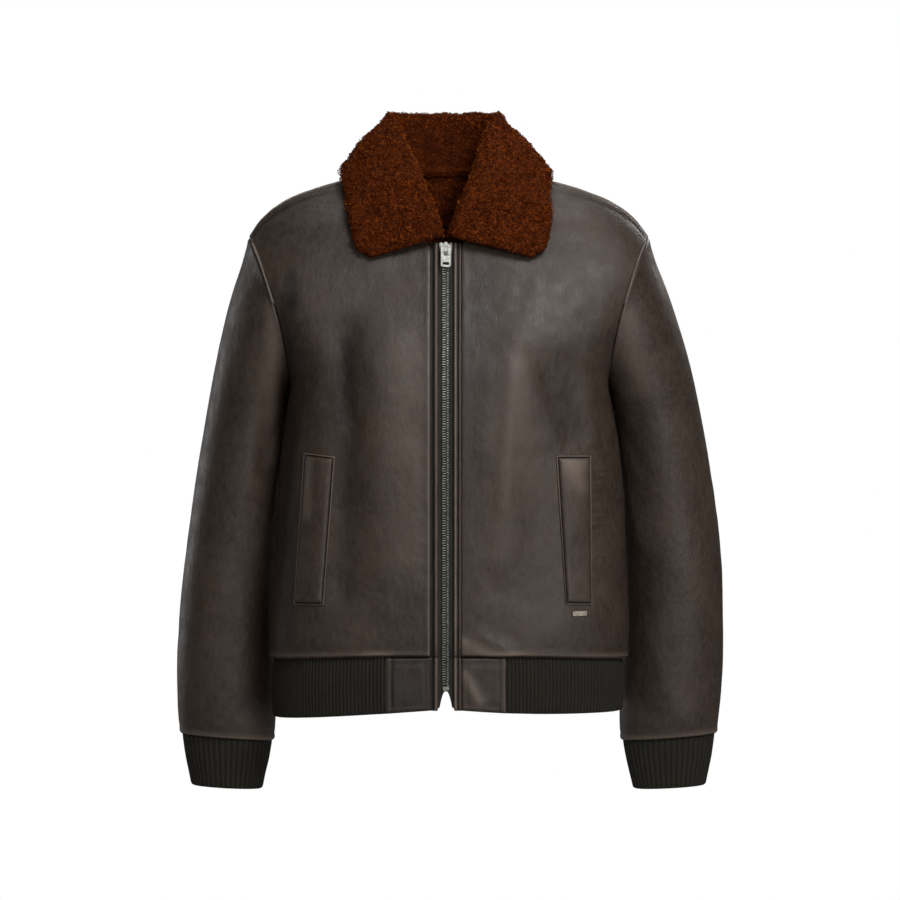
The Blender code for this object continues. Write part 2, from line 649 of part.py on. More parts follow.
def make_hem(knit, leather):
    points = hem_outline(0.0008)
    lengths = measured(points)
    start = tab_distance(points, lengths)
    steps = 2 * round((lengths[-1] - start - SEAM_GAP) / RIB_PITCH)
    cloth = Cloth()
    columns = []
    for side in (1, -1):
        half = []
        for k in range(steps + 1):
            distance = start + SEAM_GAP + (lengths[-1] - start - SEAM_GAP) * k / steps
            point, direction = along_line(points, lengths, distance)
            inward = Vector((-direction.y, direction.x, 0)).normalized()
            if k == steps:
                inward = Vector((0, -1, 0))
            half.append(hem_column(cloth, point, inward, side, RIB_DEPTH if k % 2 else 0.0))
        columns += half if side > 0 else half[-2::-1]
    cloth.grid([[column[0] for column in columns], [column[1] for column in columns]], flip=True)
    cloth.build("hem_rib", KNIT, knit)

    for side, word in SIDES:
        tab = Cloth()
        grid = []
        for k in range(5):
            distance = SEAM_GAP + (start - 2 * SEAM_GAP) * k / 4
            point, direction = along_line(points, lengths, distance)
            inward = Vector((-direction.y, direction.x, 0)).normalized()
            line = []
            for down, puff in ((0.0, 0.0), (0.12, 0.0010), (0.88, 0.0010), (1.0, 0.0)):
                place = Vector(point)
                place.z = point.z - SEAM_GAP + (hem_bottom(point, side) - point.z) * down
                place -= inward * (puff if 0 < k < 4 else 0)
                line.append(tab.vertex(mirrored(place, side), turned(inward, side)))
            grid.append(line)
        tab.grid(grid, flip=side < 0)
        tab.build("hem_tab_" + word, SHEEPSKIN, leather)


# ---- zip ------------------------------------------------------------------------------------
def zip_line(height):
    """Point of the front edge at the middle, at a height between neck and hem bottom."""
    if height < BODY_ROWS[0].inner[2]:
        return Vector((0, BODY_ROWS[0].inner[1], height))
    at = 0.0
    step = NECK_PIT_ROW
    for _ in range(30):
        step /= 2
        if body_point(at + step, 0.0).z < height:
            at += step
    return Vector((0, body_point(at, 0.0).y, height))


def cut_back(above, cut):
    """How far a strip is cut back at a height above its lower end."""
    deepest, over, power = cut
    return deepest * max(0.0, 1 - above / over) ** power


def strip_heights(low, top, cut):
    """Heights of a strip's rows, finer where its lower corner is cut back."""
    heights = [low + cut[1] * share for share in (0.0, 0.25, 0.5, 0.75, 0.9, 0.97)]
    return heights + spaced(low + cut[1], top, 16)


def strip(name, side, edges, cut, heights, puff, sunk, thickness, material):
    """A long strip beside the zip, between its inner and its outer edge."""
    cloth = Cloth()
    grid = []
    for height in heights:
        line = []
        inner = edges[0] + cut_back(height - heights[0], cut)
        for across, lift in ((0.0, 0.0), (0.3, puff), (0.7, puff), (1.0, 0.0)):
            point = zip_line(height)
            point.x = (inner + (edges[1] - inner) * across) * side
            point.y += sunk - lift
            line.append(cloth.vertex(point, Vector((0, 1, 0))))
        grid.append(line)
    cloth.grid(grid, flip=side < 0)
    cloth.build(name, thickness, material)


def spaced(low, high, count):
    return [low + (high - low) * k / count for k in range(count + 1)]


def make_zip(leather, tape):
    top = BODY_ROWS[int(NECK_PIT_ROW)].inner[2] + 0.004
    band_heights = strip_heights(HEM_BOTTOM_FRONT, top, BAND_CUT)
    tape_heights = strip_heights(HEM_BOTTOM_FRONT + TAPE_SHORT, top, TAPE_CUT)
    band_edges = (TAPE_EDGE, ZIP_EDGE - SEAM_GAP / 2)
    tape_edges = (SEAM_GAP / 2, TAPE_EDGE - SEAM_GAP)
    for side, word in SIDES:
        strip("zip_band_" + word, side, band_edges, BAND_CUT,
              band_heights, BAND_PUFF, -BAND_PROUD, SHEEPSKIN, leather)
        strip("zip_tape_" + word, side, tape_edges, TAPE_CUT,
              tape_heights, 0.0, TAPE_SUNK, TAPE_THICKNESS, tape)


# ---- collar ---------------------------------------------------------------------------------
def collar_path(section):
    """Pile side of one section: up the stand, over the roll and down the fall."""
    seam, fold = section.seam, section.fold
    edge = half_point(section.edge_row, section.edge_across)
    edge += outward(section.edge_row, section.edge_across) * (PILE_COLLAR + COLLAR_CLEARANCE)
    up = (fold - (seam + edge) / 2).normalized()
    span = edge - seam
    out = (span - up * span.dot(up)).normalized()
    roll = section.roll
    centre = fold - up * roll
    inside, outside = centre - out * roll, centre + out * roll
    stand = [seam, inside - up * (inside - seam).length * STAND_PULL, inside]
    fall_length = (edge - outside).length
    fall = [outside, outside - up * fall_length * FALL_PULL + out * section.spread, edge]
    path = [bezier(stand, k / STAND_STEPS) for k in range(STAND_STEPS)]
    for k in range(ROLL_STEPS + 1):
        angle = math.pi * k / ROLL_STEPS
        path.append(centre - out * roll * math.cos(angle) + up * roll * math.sin(angle))
    path += [bezier(fall, (k + 1) / FALL_STEPS) for k in range(FALL_STEPS)]
    return path


def collar_section(along):
    """Section at a number that may lie between two rows of the table."""
    values = []
    for column in zip(*COLLAR_SECTIONS):
        is_place = isinstance(column[0], tuple)
        points = [Vector(value) for value in column] if is_place else column
        values.append(spline(points, along))
    return Section(*values)


def leaning(point, side):
    """Collar point carried to one side; the collar hangs a little to the left at its tips."""
    place = mirrored(point, side)
    lean = min(max(COLLAR_LEAN * (COLLAR_UPRIGHT - point.z), -0.003), 0.006)
    away = smooth((abs(point.x) - 0.015) / 0.06) if lean > 0 else 1.0
    return place + Vector((lean * away, 0, 0))


def make_collar(pile):
    cloth = Cloth()
    last = len(COLLAR_SECTIONS) - 1
    stations = [k / 2 for k in range(2 * last + 1)]
    grid = []
    for side, places in ((-1, stations[:0:-1]), (1, stations)):
        for along in places:
            section = collar_section(along)
            path = collar_path(section)
            line = [cloth.vertex(leaning(point, side)) for point in path[:-1]]
            down = -outward(section.edge_row, section.edge_across, side)
            line.append(cloth.vertex(leaning(path[-1], side), down))
            grid.append(line)
    cloth.grid(grid, flip=True)
    cloth.build("collar", PILE_COLLAR, pile)


# ---- zip slider, pull and stop --------------------------------------------------------------
def zip_frame(height):
    """Place on the zip and the direction up along it."""
    point = zip_line(height)
    up = (zip_line(height + 0.004) - zip_line(height - 0.004)).normalized()
    return point, up


def prism(name, outline, low, high, material):
    """Outline in x and y, extruded from low to high in z."""
    mesh = bpy.data.meshes.new(name)
    shape = bmesh.new()
    face = shape.faces.new([shape.verts.new((x, y, low)) for x, y in outline])
    if face.normal.z > 0:
        face.normal_flip()
    grown = bmesh.ops.extrude_face_region(shape, geom=[face])
    tops = [item for item in grown["geom"] if isinstance(item, bmesh.types.BMVert)]
    bmesh.ops.translate(shape, verts=tops, vec=(0, 0, high - low))
    bmesh.ops.recalc_face_normals(shape, faces=shape.faces)
    shape.to_mesh(mesh)
    shape.free()
    mesh.materials.append(material)
    thing = bpy.data.objects.new(name, mesh)
    bpy.context.collection.objects.link(thing)
    return thing


def rectangle(width, low, high):
    half = width / 2
    return [(-half, low), (half, low), (half, high), (-half, high)]


def combine(thing, other, operation):
    """Cut or join another shape into a thing; the other one stays only as a guide."""
    change = thing.modifiers.new(operation.lower(), "BOOLEAN")
    change.operation = operation
    change.object = other
    change.solver = "EXACT"
    other.parent = thing
    other.hide_render = True
    other.display_type = "WIRE"


def rounded(thing, width, segments=1):
    bevel = thing.modifiers.new("edge", "BEVEL")
    bevel.width = width
    bevel.segments = segments
    bevel.limit_method = "ANGLE"
    bevel.angle_limit = math.radians(40)


def make_slider(steel):
    """Slider with its bridge; local y runs up the zip and local z out of it."""
    top, shoulder, tail = SLIDER_WIDTH / 2, SLIDER_WIDTH / 2 - 0.0005, SLIDER_TAIL / 2
    outline = [(-tail, -SLIDER_HALF), (tail, -SLIDER_HALF), (shoulder, 0.0035), (top, 0.0060)]
    outline += [(top - 0.0014, SLIDER_HALF), (top - 0.0034, SLIDER_HALF), (0.0030, 0.0066)]
    outline += [(-x, y) for x, y in outline[:1:-1]]
    slider = prism("zip_slider", outline, -SLIDER_BACK, SLIDER_FRONT, steel)
    rounded(slider, 0.0005)
    face, roof = SLIDER_FRONT, SLIDER_FRONT + BRIDGE_HEIGHT
    root = face - 0.0010
    arch = [(root, BRIDGE_FOOT), (roof, BRIDGE_FOOT), (roof, BRIDGE_TOP), (root, BRIDGE_TOP)]
    arch += [(root, BRIDGE_TOP - BRIDGE_BAR), (roof - BRIDGE_BAR, BRIDGE_TOP - BRIDGE_BAR)]
    arch += [(roof - BRIDGE_BAR, BRIDGE_FOOT + BRIDGE_BAR), (root, BRIDGE_FOOT + BRIDGE_BAR)]
    bridge = prism("bridge_shape", arch, -BRIDGE_WIDTH / 2, BRIDGE_WIDTH / 2, steel)
    bridge.rotation_euler = (0, -math.pi / 2, 0)
    combine(slider, bridge, "UNION")
    return slider


def make_pull(steel):
    """Pull tab whose origin is the middle of its upper bar, the hinge."""
    top = HINGE_BAR / 2
    foot = top - PULL_LENGTH
    half, cut = PULL_WIDTH / 2, 0.0018
    outline = [(-half + cut, foot), (half - cut, foot), (half, foot + cut), (half, top - 0.0008)]
    outline += [(half - 0.0012, top), (-half + 0.0012, top), (-half, top - 0.0008), (-half, foot + cut)]
    pull = prism("zip_pull", outline, -PULL_DEPTH / 2, PULL_DEPTH / 2, steel)
    slot = rectangle(PULL_SLOT_WIDTH, -top - PULL_SLOT_LENGTH, -top)
    hole = rectangle(PULL_HOLE[0], foot + PULL_HOLE_UP - PULL_HOLE[1] / 2,
                     foot + PULL_HOLE_UP + PULL_HOLE[1] / 2)
    for word, shape in (("slot_shape", slot), ("hole_shape", hole)):
        combine(pull, prism(word, shape, -PULL_DEPTH, PULL_DEPTH, steel), "DIFFERENCE")
    return pull


def make_zip_metal(steel):
    point, up = zip_frame(SLIDER_TOP - SLIDER_HALF)
    tilt = math.atan2(up.z, up.y)
    slider = make_slider(steel)
    slider.location = point
    slider.rotation_euler = (tilt, 0, 0)
    pull = make_pull(steel)
    out = Vector((0, -up.z, up.y))
    height = SLIDER_FRONT + (BRIDGE_HEIGHT - BRIDGE_BAR) / 2
    pull.location = point + up * HINGE_ALONG + out * height
    pull.rotation_euler = (tilt, 0, 0)
    point, up = zip_frame(STOP_HEIGHT)
    wide, deep, tall = STOP_SIZE
    stop = prism("zip_stop", rectangle(wide, -tall / 2, tall / 2), -0.0022, deep - 0.0022, steel)
    rounded(stop, 0.0004)
    stop.location = point
    stop.rotation_euler = (math.pi / 2, 0, 0)


# ---- welts, tag and ridges ------------------------------------------------------------------
WELT_ACROSS = ((0.0, 0.35), (0.12, 1.0), (0.5, 0.8), (0.88, 1.0), (1.0, 0.35))
WELT_DOWN = ((0.0, 0.35), (0.03, 1.0), (0.26, 1.0), (0.5, 1.0), (0.74, 1.0), (0.97, 1.0), (1.0, 0.35))


def welt_place(side, across, down):
    """x and z of a place on the welt, from its upper inner corner."""
    a, b, c, d = (Vector(corner) for corner in WELT_CORNERS[side])
    return a.lerp(b, across).lerp(d.lerp(c, across), down)


def make_welts(leather):
    for side, word in SIDES:
        cloth = Cloth()
        grid = []
        for down, tall in WELT_DOWN:
            line = []
            for across, high in WELT_ACROSS:
                place = welt_place(side, across, down)
                height = WELT_HEIGHT * min(tall, high)
                point = front_at(place.x, place.y, side, LIFT + height)
                flat = front_at(place.x, place.y, side, LIFT)
                line.append(cloth.vertex(point, flat - point, height))
            grid.append(line)
        cloth.grid(grid, flip=side > 0)
        cloth.build("pocket_welt_" + word, WELT_HEIGHT, leather)


def make_tag(steel):
    """Small bare plate above the hem on the wearer's left."""
    x, z = TAG_PLACE
    point = front_at(x, z, 1, LIFT)
    out = (front_at(x, z, 1, 0.01) - point).normalized()
    across = (front_at(x + 0.01, z, 1, LIFT) - point).normalized()
    wide, tall, deep = TAG_SIZE
    tag = prism("metal_tag", rectangle(wide, -tall / 2, tall / 2), 0, deep, steel)
    rounded(tag, 0.0003)
    tag.location = point
    up = out.cross(across).normalized()
    tag.rotation_euler = basis(across, up, out).to_euler()


def basis(x_axis, y_axis, z_axis):
    turn = Matrix((x_axis, y_axis, z_axis))
    turn.transpose()
    return turn


def make_ridges(leather):
    """Narrow lapped strips on the body beside the upper armhole, in front and behind."""
    for side, word in SIDES:
        for place, (low, high) in (("front", FRONT_RIDGE), ("back", BACK_RIDGE)):
            cloth = Cloth()
            grid = []
            for k in range(9):
                at = low + (high - low) * k / 8
                line = []
                for share, tall in ((1.25, 0.3), (0.8, 1.0), (0.25, 0.5)):
                    height = RIDGE_HEIGHT * (tall if 0 < k < 8 else 0.3)
                    across = 1 - RIDGE_WIDTH * share
                    point = over_body(at, across, LIFT + height, side)
                    flat = over_body(at, across, LIFT, side)
                    line.append(cloth.vertex(point, flat - point, height))
                grid.append(line)
            cloth.grid(grid, flip=side < 0)
            cloth.build("armhole_ridge_%s_%s" % (place, word), RIDGE_HEIGHT, leather)


# ---- run ------------------------------------------------------------------------------------
def main():
    clear_scene()
    leather = finish("dark_brown_leather", (0.060, 0.046, 0.038), 0.38)
    knit = finish("dark_rib_knit", (0.030, 0.027, 0.020), 0.9)
    pile = finish("rust_shearling", (0.150, 0.040, 0.010), 0.95)
    tape = finish("zip_tape", (0.030, 0.030, 0.024), 0.85)
    steel = finish("nickel_plated_metal", (0.620, 0.620, 0.590), 0.28, 1.0)
    make_fronts(leather)
    make_back(leather)
    make_sleeves(leather)
    make_cuffs(knit)
    make_hem(knit, leather)
    make_zip(leather, tape)
    make_collar(pile)
    make_zip_metal(steel)
    make_welts(leather)
    make_tag(steel)
    make_ridges(leather)


main()
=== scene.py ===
# %% [markdown]
# # A leather jacket with a curled shearling collar
# The jacket hangs in the air, filled out as if it were worn and closed up to the neck. Its
# body and sleeves are sheepskin with the smooth, dark leather outside and the short pile
# inside. The collar is the same skin turned over, with a longer rust-brown pile. Rib knit
# draws in the hem and the cuffs, and a metal zip between two leather bands closes the front.
#
# Every piece is modelled as a thin closed wall on the form that its CAD solid has. The CAD
# form comes from short tables of points, so the same tables stand here again and are sampled
# much more finely. Then each piece gets what a tailor would see: rolled seams, soft folds,
# puckers, ribs, curls and stitches.

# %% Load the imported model
import math
import bmesh
import bpy
import numpy as np
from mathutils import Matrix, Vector


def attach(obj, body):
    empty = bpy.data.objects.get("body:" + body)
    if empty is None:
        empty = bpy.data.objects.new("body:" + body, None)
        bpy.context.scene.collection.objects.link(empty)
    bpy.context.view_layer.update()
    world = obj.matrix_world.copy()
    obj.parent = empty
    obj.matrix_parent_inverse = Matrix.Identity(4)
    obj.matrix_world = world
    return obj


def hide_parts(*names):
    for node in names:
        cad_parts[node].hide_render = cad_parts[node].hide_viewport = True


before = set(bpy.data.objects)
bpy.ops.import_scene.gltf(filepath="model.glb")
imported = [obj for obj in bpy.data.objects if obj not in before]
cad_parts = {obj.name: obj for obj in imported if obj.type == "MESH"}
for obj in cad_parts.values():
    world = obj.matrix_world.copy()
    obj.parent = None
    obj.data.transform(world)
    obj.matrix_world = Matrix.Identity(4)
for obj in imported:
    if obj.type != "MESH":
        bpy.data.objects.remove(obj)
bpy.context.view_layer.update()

# %% [markdown]
# ## Camera, floor and light
# The photograph is taken level with the middle of the jacket from about four metres with a
# long lens, against plain white. The floor lies far below. Camera rays see floor and sky as
# white paper; all other rays get an even grey, so that the leather isn't washed out. A bright
# sky alone would light the folds flat, so large soft lamps shape them. The strongest stands
# high on the right of the picture, weaker ones in front, on the left, low on the right and
# overhead, and three light the back for the other views.

# %% Camera
EYE = (0.005, -4.0, -0.33)
SENSOR_MM, LENS_MM = 36, 128
camera = bpy.data.objects.new("camera", bpy.data.cameras.new("camera"))
bpy.context.collection.objects.link(camera)
camera.location = EYE
camera.rotation_euler = (math.pi / 2, 0, 0)
camera.data.sensor_width = SENSOR_MM
camera.data.lens = LENS_MM
camera.data.dof.use_dof = False
bpy.context.scene.camera = camera
bpy.context.scene.view_settings.view_transform = "Standard"
print("camera at", EYE, "lens", LENS_MM, "mm")


# %% Helpers for shader nodes
def add(tree, kind, settings=None, **inputs):
    """New shader node; inputs are values, or outputs of other nodes to link."""
    node = tree.nodes.new("ShaderNode" + kind)
    for key, value in (settings or {}).items():
        setattr(node, key, value)
    for key, value in inputs.items():
        feed(tree, node.inputs[key.replace("_", " ")], value)
    return node


def feed(tree, socket, value):
    """Link an output to a socket, or set the socket's own value."""
    if isinstance(value, bpy.types.NodeSocket):
        tree.links.new(value, socket)
    else:
        socket.default_value = value


def calc(tree, operation, first, second=0.0, third=0.0):
    """Result of a Math node."""
    node = add(tree, "Math", {"operation": operation})
    for socket, value in zip(node.inputs, (first, second, third)):
        feed(tree, socket, value)
    return node.outputs[0]


def blend(tree, share, first, second):
    """Mix of two colours by a share."""
    node = add(tree, "Mix", {"data_type": "RGBA"})
    feed(tree, node.inputs["Factor"], share)
    feed(tree, node.inputs["A"], first)
    feed(tree, node.inputs["B"], second)
    return node.outputs["Result"]


def spread(tree, value, low, high, to_low, to_high):
    """Value carried smoothly from one range to another."""
    node = add(tree, "MapRange", {"interpolation_type": "SMOOTHSTEP"}, Value=value)
    for key, number in zip(("From Min", "From Max", "To Min", "To Max"), (low, high, to_low, to_high)):
        feed(tree, node.inputs[key], number)
    return node.outputs["Result"]


def paint(red, green, blue):
    """Colour given as the eye sees it, 0 to 255, in the linear values that nodes use."""
    linear = [((v / 255 + 0.055) / 1.055) ** 2.4 for v in (red, green, blue)]
    return (*linear, 1.0)


# %% Sky and floor
world = bpy.data.worlds.new("studio")
bpy.context.scene.world = world
world.use_nodes = True
sky = world.node_tree.nodes["Background"]
seen = add(world.node_tree, "LightPath").outputs["Is Camera Ray"]
white, room = paint(255, 255, 255), paint(66, 63, 59)
feed(world.node_tree, sky.inputs["Color"], blend(world.node_tree, seen, room, white))

FLOOR_HEIGHT = -1.35
FLOOR_RADIUS = 7
FLOOR_TONE = 150
bpy.ops.mesh.primitive_circle_add(vertices=96, radius=FLOOR_RADIUS, fill_type="NGON",
                                  location=(0, 0, FLOOR_HEIGHT))
floor = bpy.context.object
floor.name = "floor"
paper = bpy.data.materials.new("pale_floor")
paper.use_nodes = True
nodes = paper.node_tree.nodes
nodes["Principled BSDF"].inputs["Base Color"].default_value = paint(FLOOR_TONE, FLOOR_TONE, FLOOR_TONE)
glow = add(paper.node_tree, "Emission", Color=white)
seen = add(paper.node_tree, "LightPath").outputs["Is Camera Ray"]
mixed = add(paper.node_tree, "MixShader")
feed(paper.node_tree, mixed.inputs[0], seen)
feed(paper.node_tree, mixed.inputs[1], nodes["Principled BSDF"].outputs[0])
feed(paper.node_tree, mixed.inputs[2], glow.outputs[0])
feed(paper.node_tree, nodes["Material Output"].inputs["Surface"], mixed.outputs[0])
floor.data.materials.append(paper)
print("floor at", FLOOR_HEIGHT)


# %% Lamps
def lamp(name, place, aim, size, watts):
    """Square soft lamp that the camera doesn't see."""
    light = bpy.data.lights.new(name, "AREA")
    light.size = size
    light.energy = watts
    thing = bpy.data.objects.new(name, light)
    bpy.context.collection.objects.link(thing)
    thing.location = place
    thing.rotation_euler = (Vector(aim) - Vector(place)).to_track_quat("-Z", "Y").to_euler()
    thing.visible_camera = False


lamp("key", (1.20, -2.5, 1.7), (0.05, 0, -0.25), 1.1, 82)
lamp("fill", (-1.3, -3.2, 0.7), (0, 0, -0.35), 1.2, 16)
lamp("front", (0.5, -3.9, 0.1), (0, 0, -0.35), 0.8, 12)
lamp("low", (1.9, -2.7, -0.3), (0.1, 0, -0.35), 1.2, 20)
lamp("top", (0.2, 0.2, 2.4), (0, 0, -0.1), 1.4, 26)
lamp("back_key", (1.8, 3.2, 1.6), (0, 0, -0.25), 1.6, 44)
lamp("back_middle", (-0.3, 4.0, 0.5), (0, 0, -0.35), 1.4, 55)
lamp("back_fill", (-3.0, 2.2, 0.0), (0, 0, -0.35), 1.8, 20)


# %% [markdown]
# ## Curves and soft noise
# All forms here are smooth curves through a few numbered points. A place on such a curve is a
# number: 1.5 is half way between points 1 and 2. Written for whole arrays of places at once,
# this makes a panel of ten thousand points in a blink. The noise is a lattice of seeded random
# numbers with soft steps between them, so every run gives the same wrinkles. A noise texture
# in the finish could fake them, but only a moved mesh shows them in its outline.

# %% Curves and noise
def curve_through(points, at):
    """Smooth curve through numbered points, for an array of places."""
    points = np.asarray(points, float)
    at = np.asarray(at, float)
    number = np.clip(np.floor(at).astype(int), 0, len(points) - 2)
    f = (at - number)[..., None]
    ends = 2 * points[0] - points[1], 2 * points[-1] - points[-2]
    padded = np.vstack([ends[0], points, ends[1]])
    before, here, there, after = (padded[number + k] for k in range(4))
    curve = here + (there - before) * f / 2
    curve += (2 * before - 5 * here + 4 * there - after) * f ** 2 / 2
    return curve + (3 * here - before - 3 * there + after) * f ** 3 / 2


def smooth(t):
    """Soft step from 0 to 1."""
    t = np.clip(t, 0.0, 1.0)
    return t * t * (3 - 2 * t)


def unit(vectors):
    """The vectors brought to length 1."""
    return vectors / np.maximum(np.linalg.norm(vectors, axis=-1, keepdims=True), 1e-12)


def bump_at(distance, middle, width):
    """Soft hump of height 1 at a distance."""
    return np.exp(-((distance - middle) / width) ** 2)


LATTICE_SIZE = 32
LATTICE = np.random.RandomState(7).rand(LATTICE_SIZE, LATTICE_SIZE, LATTICE_SIZE)


def ripple(points, size, shift=0.0):
    """Soft random height from -1 to 1 that changes over about size metres."""
    place = points / size + 50.0 + shift
    cell = np.floor(place).astype(int)
    f = smooth(place - cell)
    total = 0.0
    for corner in np.ndindex(2, 2, 2):
        weight = np.prod(np.where(corner, f, 1 - f), axis=-1)
        i = (cell + corner) % LATTICE_SIZE
        total = total + weight * LATTICE[i[..., 0], i[..., 1], i[..., 2]]
    return total * 2 - 1


print("noise from", LATTICE.size, "numbers")

# %% [markdown]
# ## Form of the body
# The body is a set of rows that run from the front hem over the shoulder to the back hem.
# Each row is one curve from the zip, the neckline or the middle of the back out to the side
# seam or the armhole. The left side hangs a little wider than the right, as in the photograph.
# Sculpting would give freer forms, but a table keeps every seam on the line of its CAD solid.

# %% Tables of the body
ZIP_EDGE = 0.0185
NO_ANGLE = math.nan
# angle on the armhole, inner point (x, y, z), its direction (y, z), direction at the outer end
# (x, y, z), pull of both ends
BODY_ROWS = np.array((
    (NO_ANGLE, 0.0185, -0.1235, -0.5810, 0.00, 0.00, 0.00, 1.00, 0.00, 0.50, 0.34),
    (NO_ANGLE, 0.0185, -0.1290, -0.5660, 0.00, 0.00, 0.00, 1.00, 0.00, 0.50, 0.34),
    (NO_ANGLE, 0.0185, -0.1300, -0.5200, 0.00, 0.00, 0.00, 1.00, 0.00, 0.50, 0.34),
    (NO_ANGLE, 0.0185, -0.1315, -0.4500, 0.00, 0.00, 0.00, 1.00, 0.00, 0.50, 0.34),
    (NO_ANGLE, 0.0185, -0.1350, -0.3700, 0.00, 0.00, 0.00, 1.00, 0.00, 0.50, 0.36),
    (NO_ANGLE, 0.0185, -0.1370, -0.3000, 0.00, 0.00, 0.00, 1.00, 0.00, 0.50, 0.40),
    (0, 0.0185, -0.1350, -0.2500, 0.00, 0.00, 0.00, 1.00, 0.06, 0.50, 0.44),
    (25, 0.0185, -0.1315, -0.2220, 0.00, 0.00, 0.02, 1.00, -0.04, 0.50, 0.38),
    (50, 0.0185, -0.1255, -0.1900, 0.00, 0.00, 0.20, 0.97, 0.00, 0.50, 0.28),
    (75, 0.0185, -0.1160, -0.1550, 0.00, 0.00, 0.48, 0.87, -0.05, 0.46, 0.20),
    (100, 0.0185, -0.1035, -0.1170, 0.00, 0.00, 0.68, 0.70, -0.18, 0.42, 0.18),
    (125, 0.0185, -0.0905, -0.0810, 0.02, 0.02, 0.78, 0.45, -0.42, 0.37, 0.24),
    (147, 0.0520, -0.0670, -0.0430, -0.02, -0.02, 0.60, 0.20, -0.78, 0.38, 0.31),
    (166, 0.0840, -0.0120, 0.0130, 0.00, -0.23, 0.43, 0.02, -0.90, 0.40, 0.32),
    (182, 0.0790, 0.0170, 0.0145, 0.00, -0.22, 0.43, -0.02, -0.90, 0.40, 0.32),
    (205, 0.0500, 0.0490, 0.0175, 0.02, -0.14, 0.58, -0.18, -0.79, 0.38, 0.30),
    (230, 0.0000, 0.0650, 0.0180, 0.00, 0.00, 0.74, -0.45, -0.48, 0.36, 0.27),
    (255, 0.0000, 0.0830, -0.0250, 0.00, 0.00, 0.70, -0.68, -0.22, 0.40, 0.23),
    (280, 0.0000, 0.1050, -0.0750, 0.00, 0.00, 0.55, -0.83, -0.06, 0.44, 0.21),
    (305, 0.0000, 0.1200, -0.1300, 0.00, 0.00, 0.20, -0.97, 0.00, 0.50, 0.28),
    (332, 0.0000, 0.1275, -0.1900, 0.00, 0.00, 0.02, -1.00, -0.04, 0.50, 0.38),
    (360, 0.0000, 0.1270, -0.2500, 0.00, 0.00, 0.00, -1.00, 0.06, 0.50, 0.44),
    (NO_ANGLE, 0.0000, 0.1200, -0.3100, 0.00, 0.00, 0.00, -1.00, 0.00, 0.50, 0.40),
    (NO_ANGLE, 0.0000, 0.1120, -0.3790, 0.00, 0.00, 0.00, -1.00, 0.00, 0.50, 0.34),
    (NO_ANGLE, 0.0000, 0.1090, -0.4500, 0.00, 0.00, 0.00, -1.00, 0.00, 0.50, 0.34),
    (NO_ANGLE, 0.0000, 0.1130, -0.5130, 0.00, 0.00, 0.00, -1.00, 0.00, 0.50, 0.34),
    (NO_ANGLE, 0.0000, 0.1170, -0.5560, 0.00, 0.00, 0.00, -1.00, 0.00, 0.50, 0.34),
    (NO_ANGLE, 0.0000, 0.1120, -0.5720, 0.00, 0.00, 0.00, -1.00, 0.00, 0.50, 0.34),
))
UNDERARM_ROW, NECK_PIT_ROW, SHOULDER_ROW = 6, 11.3, 13
NAPE_ROW, BACK_UNDERARM_ROW, BACK_HEM_ROW = 16, 21, 27
SIDE_SEAM = (
    (0.2190, -0.008, -0.589),
    (0.2235, -0.008, -0.573),
    (0.2228, -0.008, -0.525),
    (0.2185, -0.008, -0.455),
    (0.2150, -0.006, -0.380),
    (0.2080, -0.003, -0.310),
)
ARMHOLE_MIDDLE = np.array((0.175, 0.002, -0.150))
# share by which the left side is wider and the right one narrower, at heights a step apart
WIDENING = (0.0020, 0.0125, 0.0168, 0.0265, 0.0305, 0.0312, 0.0283, 0.0213, 0.0145, 0.0095, 0.0095)
WIDENING_TOP, WIDENING_STEP = 0.040, 0.080
# ends (x, z), half width and height of each large fold
FRONT_FOLDS = (
    (-0.122, -0.190, -0.126, -0.500, 0.022, -0.0055),
    (-0.060, -0.230, -0.058, -0.520, 0.030, 0.0035),
    (0.092, -0.200, 0.060, -0.460, 0.024, 0.0055),
    (0.142, -0.232, 0.160, -0.300, 0.022, -0.0070),
    (0.118, -0.340, 0.112, -0.500, 0.026, -0.0035),
    (0.022, -0.560, 0.075, -0.575, 0.009, 0.0030),
)
BACK_FOLDS = (
    (-0.085, -0.250, -0.070, -0.470, 0.028, -0.0045),
    (0.075, -0.220, 0.090, -0.450, 0.026, -0.0045),
    (0.012, -0.330, 0.008, -0.540, 0.030, 0.0035),
)
print("body rows", len(BODY_ROWS))


# %% Surface of the body
def to_side(points, side):
    """Points carried to one side, which hangs a little wider on the left."""
    x, z = points[..., 0], points[..., 2]
    share = curve_through(np.array(WIDENING)[:, None], (WIDENING_TOP - z) / WIDENING_STEP)[..., 0]
    wider = 1 + side * share * smooth((np.abs(x) - 0.10) / 0.15)
    return np.stack([x * side * wider, points[..., 1], z], axis=-1)


def armhole_point(degrees):
    """Armhole seam, counted from the underarm by the front to the back."""
    angle = np.radians(degrees)
    z = -0.155 - 0.090 * np.cos(angle)
    depth = np.where(np.sin(angle) > 0, 0.083, 0.090)
    x = 0.1975 + 0.052 * ((1 - np.cos(angle)) / 2) ** 1.7
    return np.stack([x, 0.002 - depth * np.sin(angle), z], axis=-1)


ARMHOLE_ANGLES = BODY_ROWS[UNDERARM_ROW:BACK_UNDERARM_ROW + 1, :1]
SIDE_POINTS = np.vstack([SIDE_SEAM, armhole_point(0)])


def armhole_angle(at):
    """Angle on the armhole at which a row ends."""
    return curve_through(ARMHOLE_ANGLES, np.asarray(at, float) - UNDERARM_ROW)[..., 0]


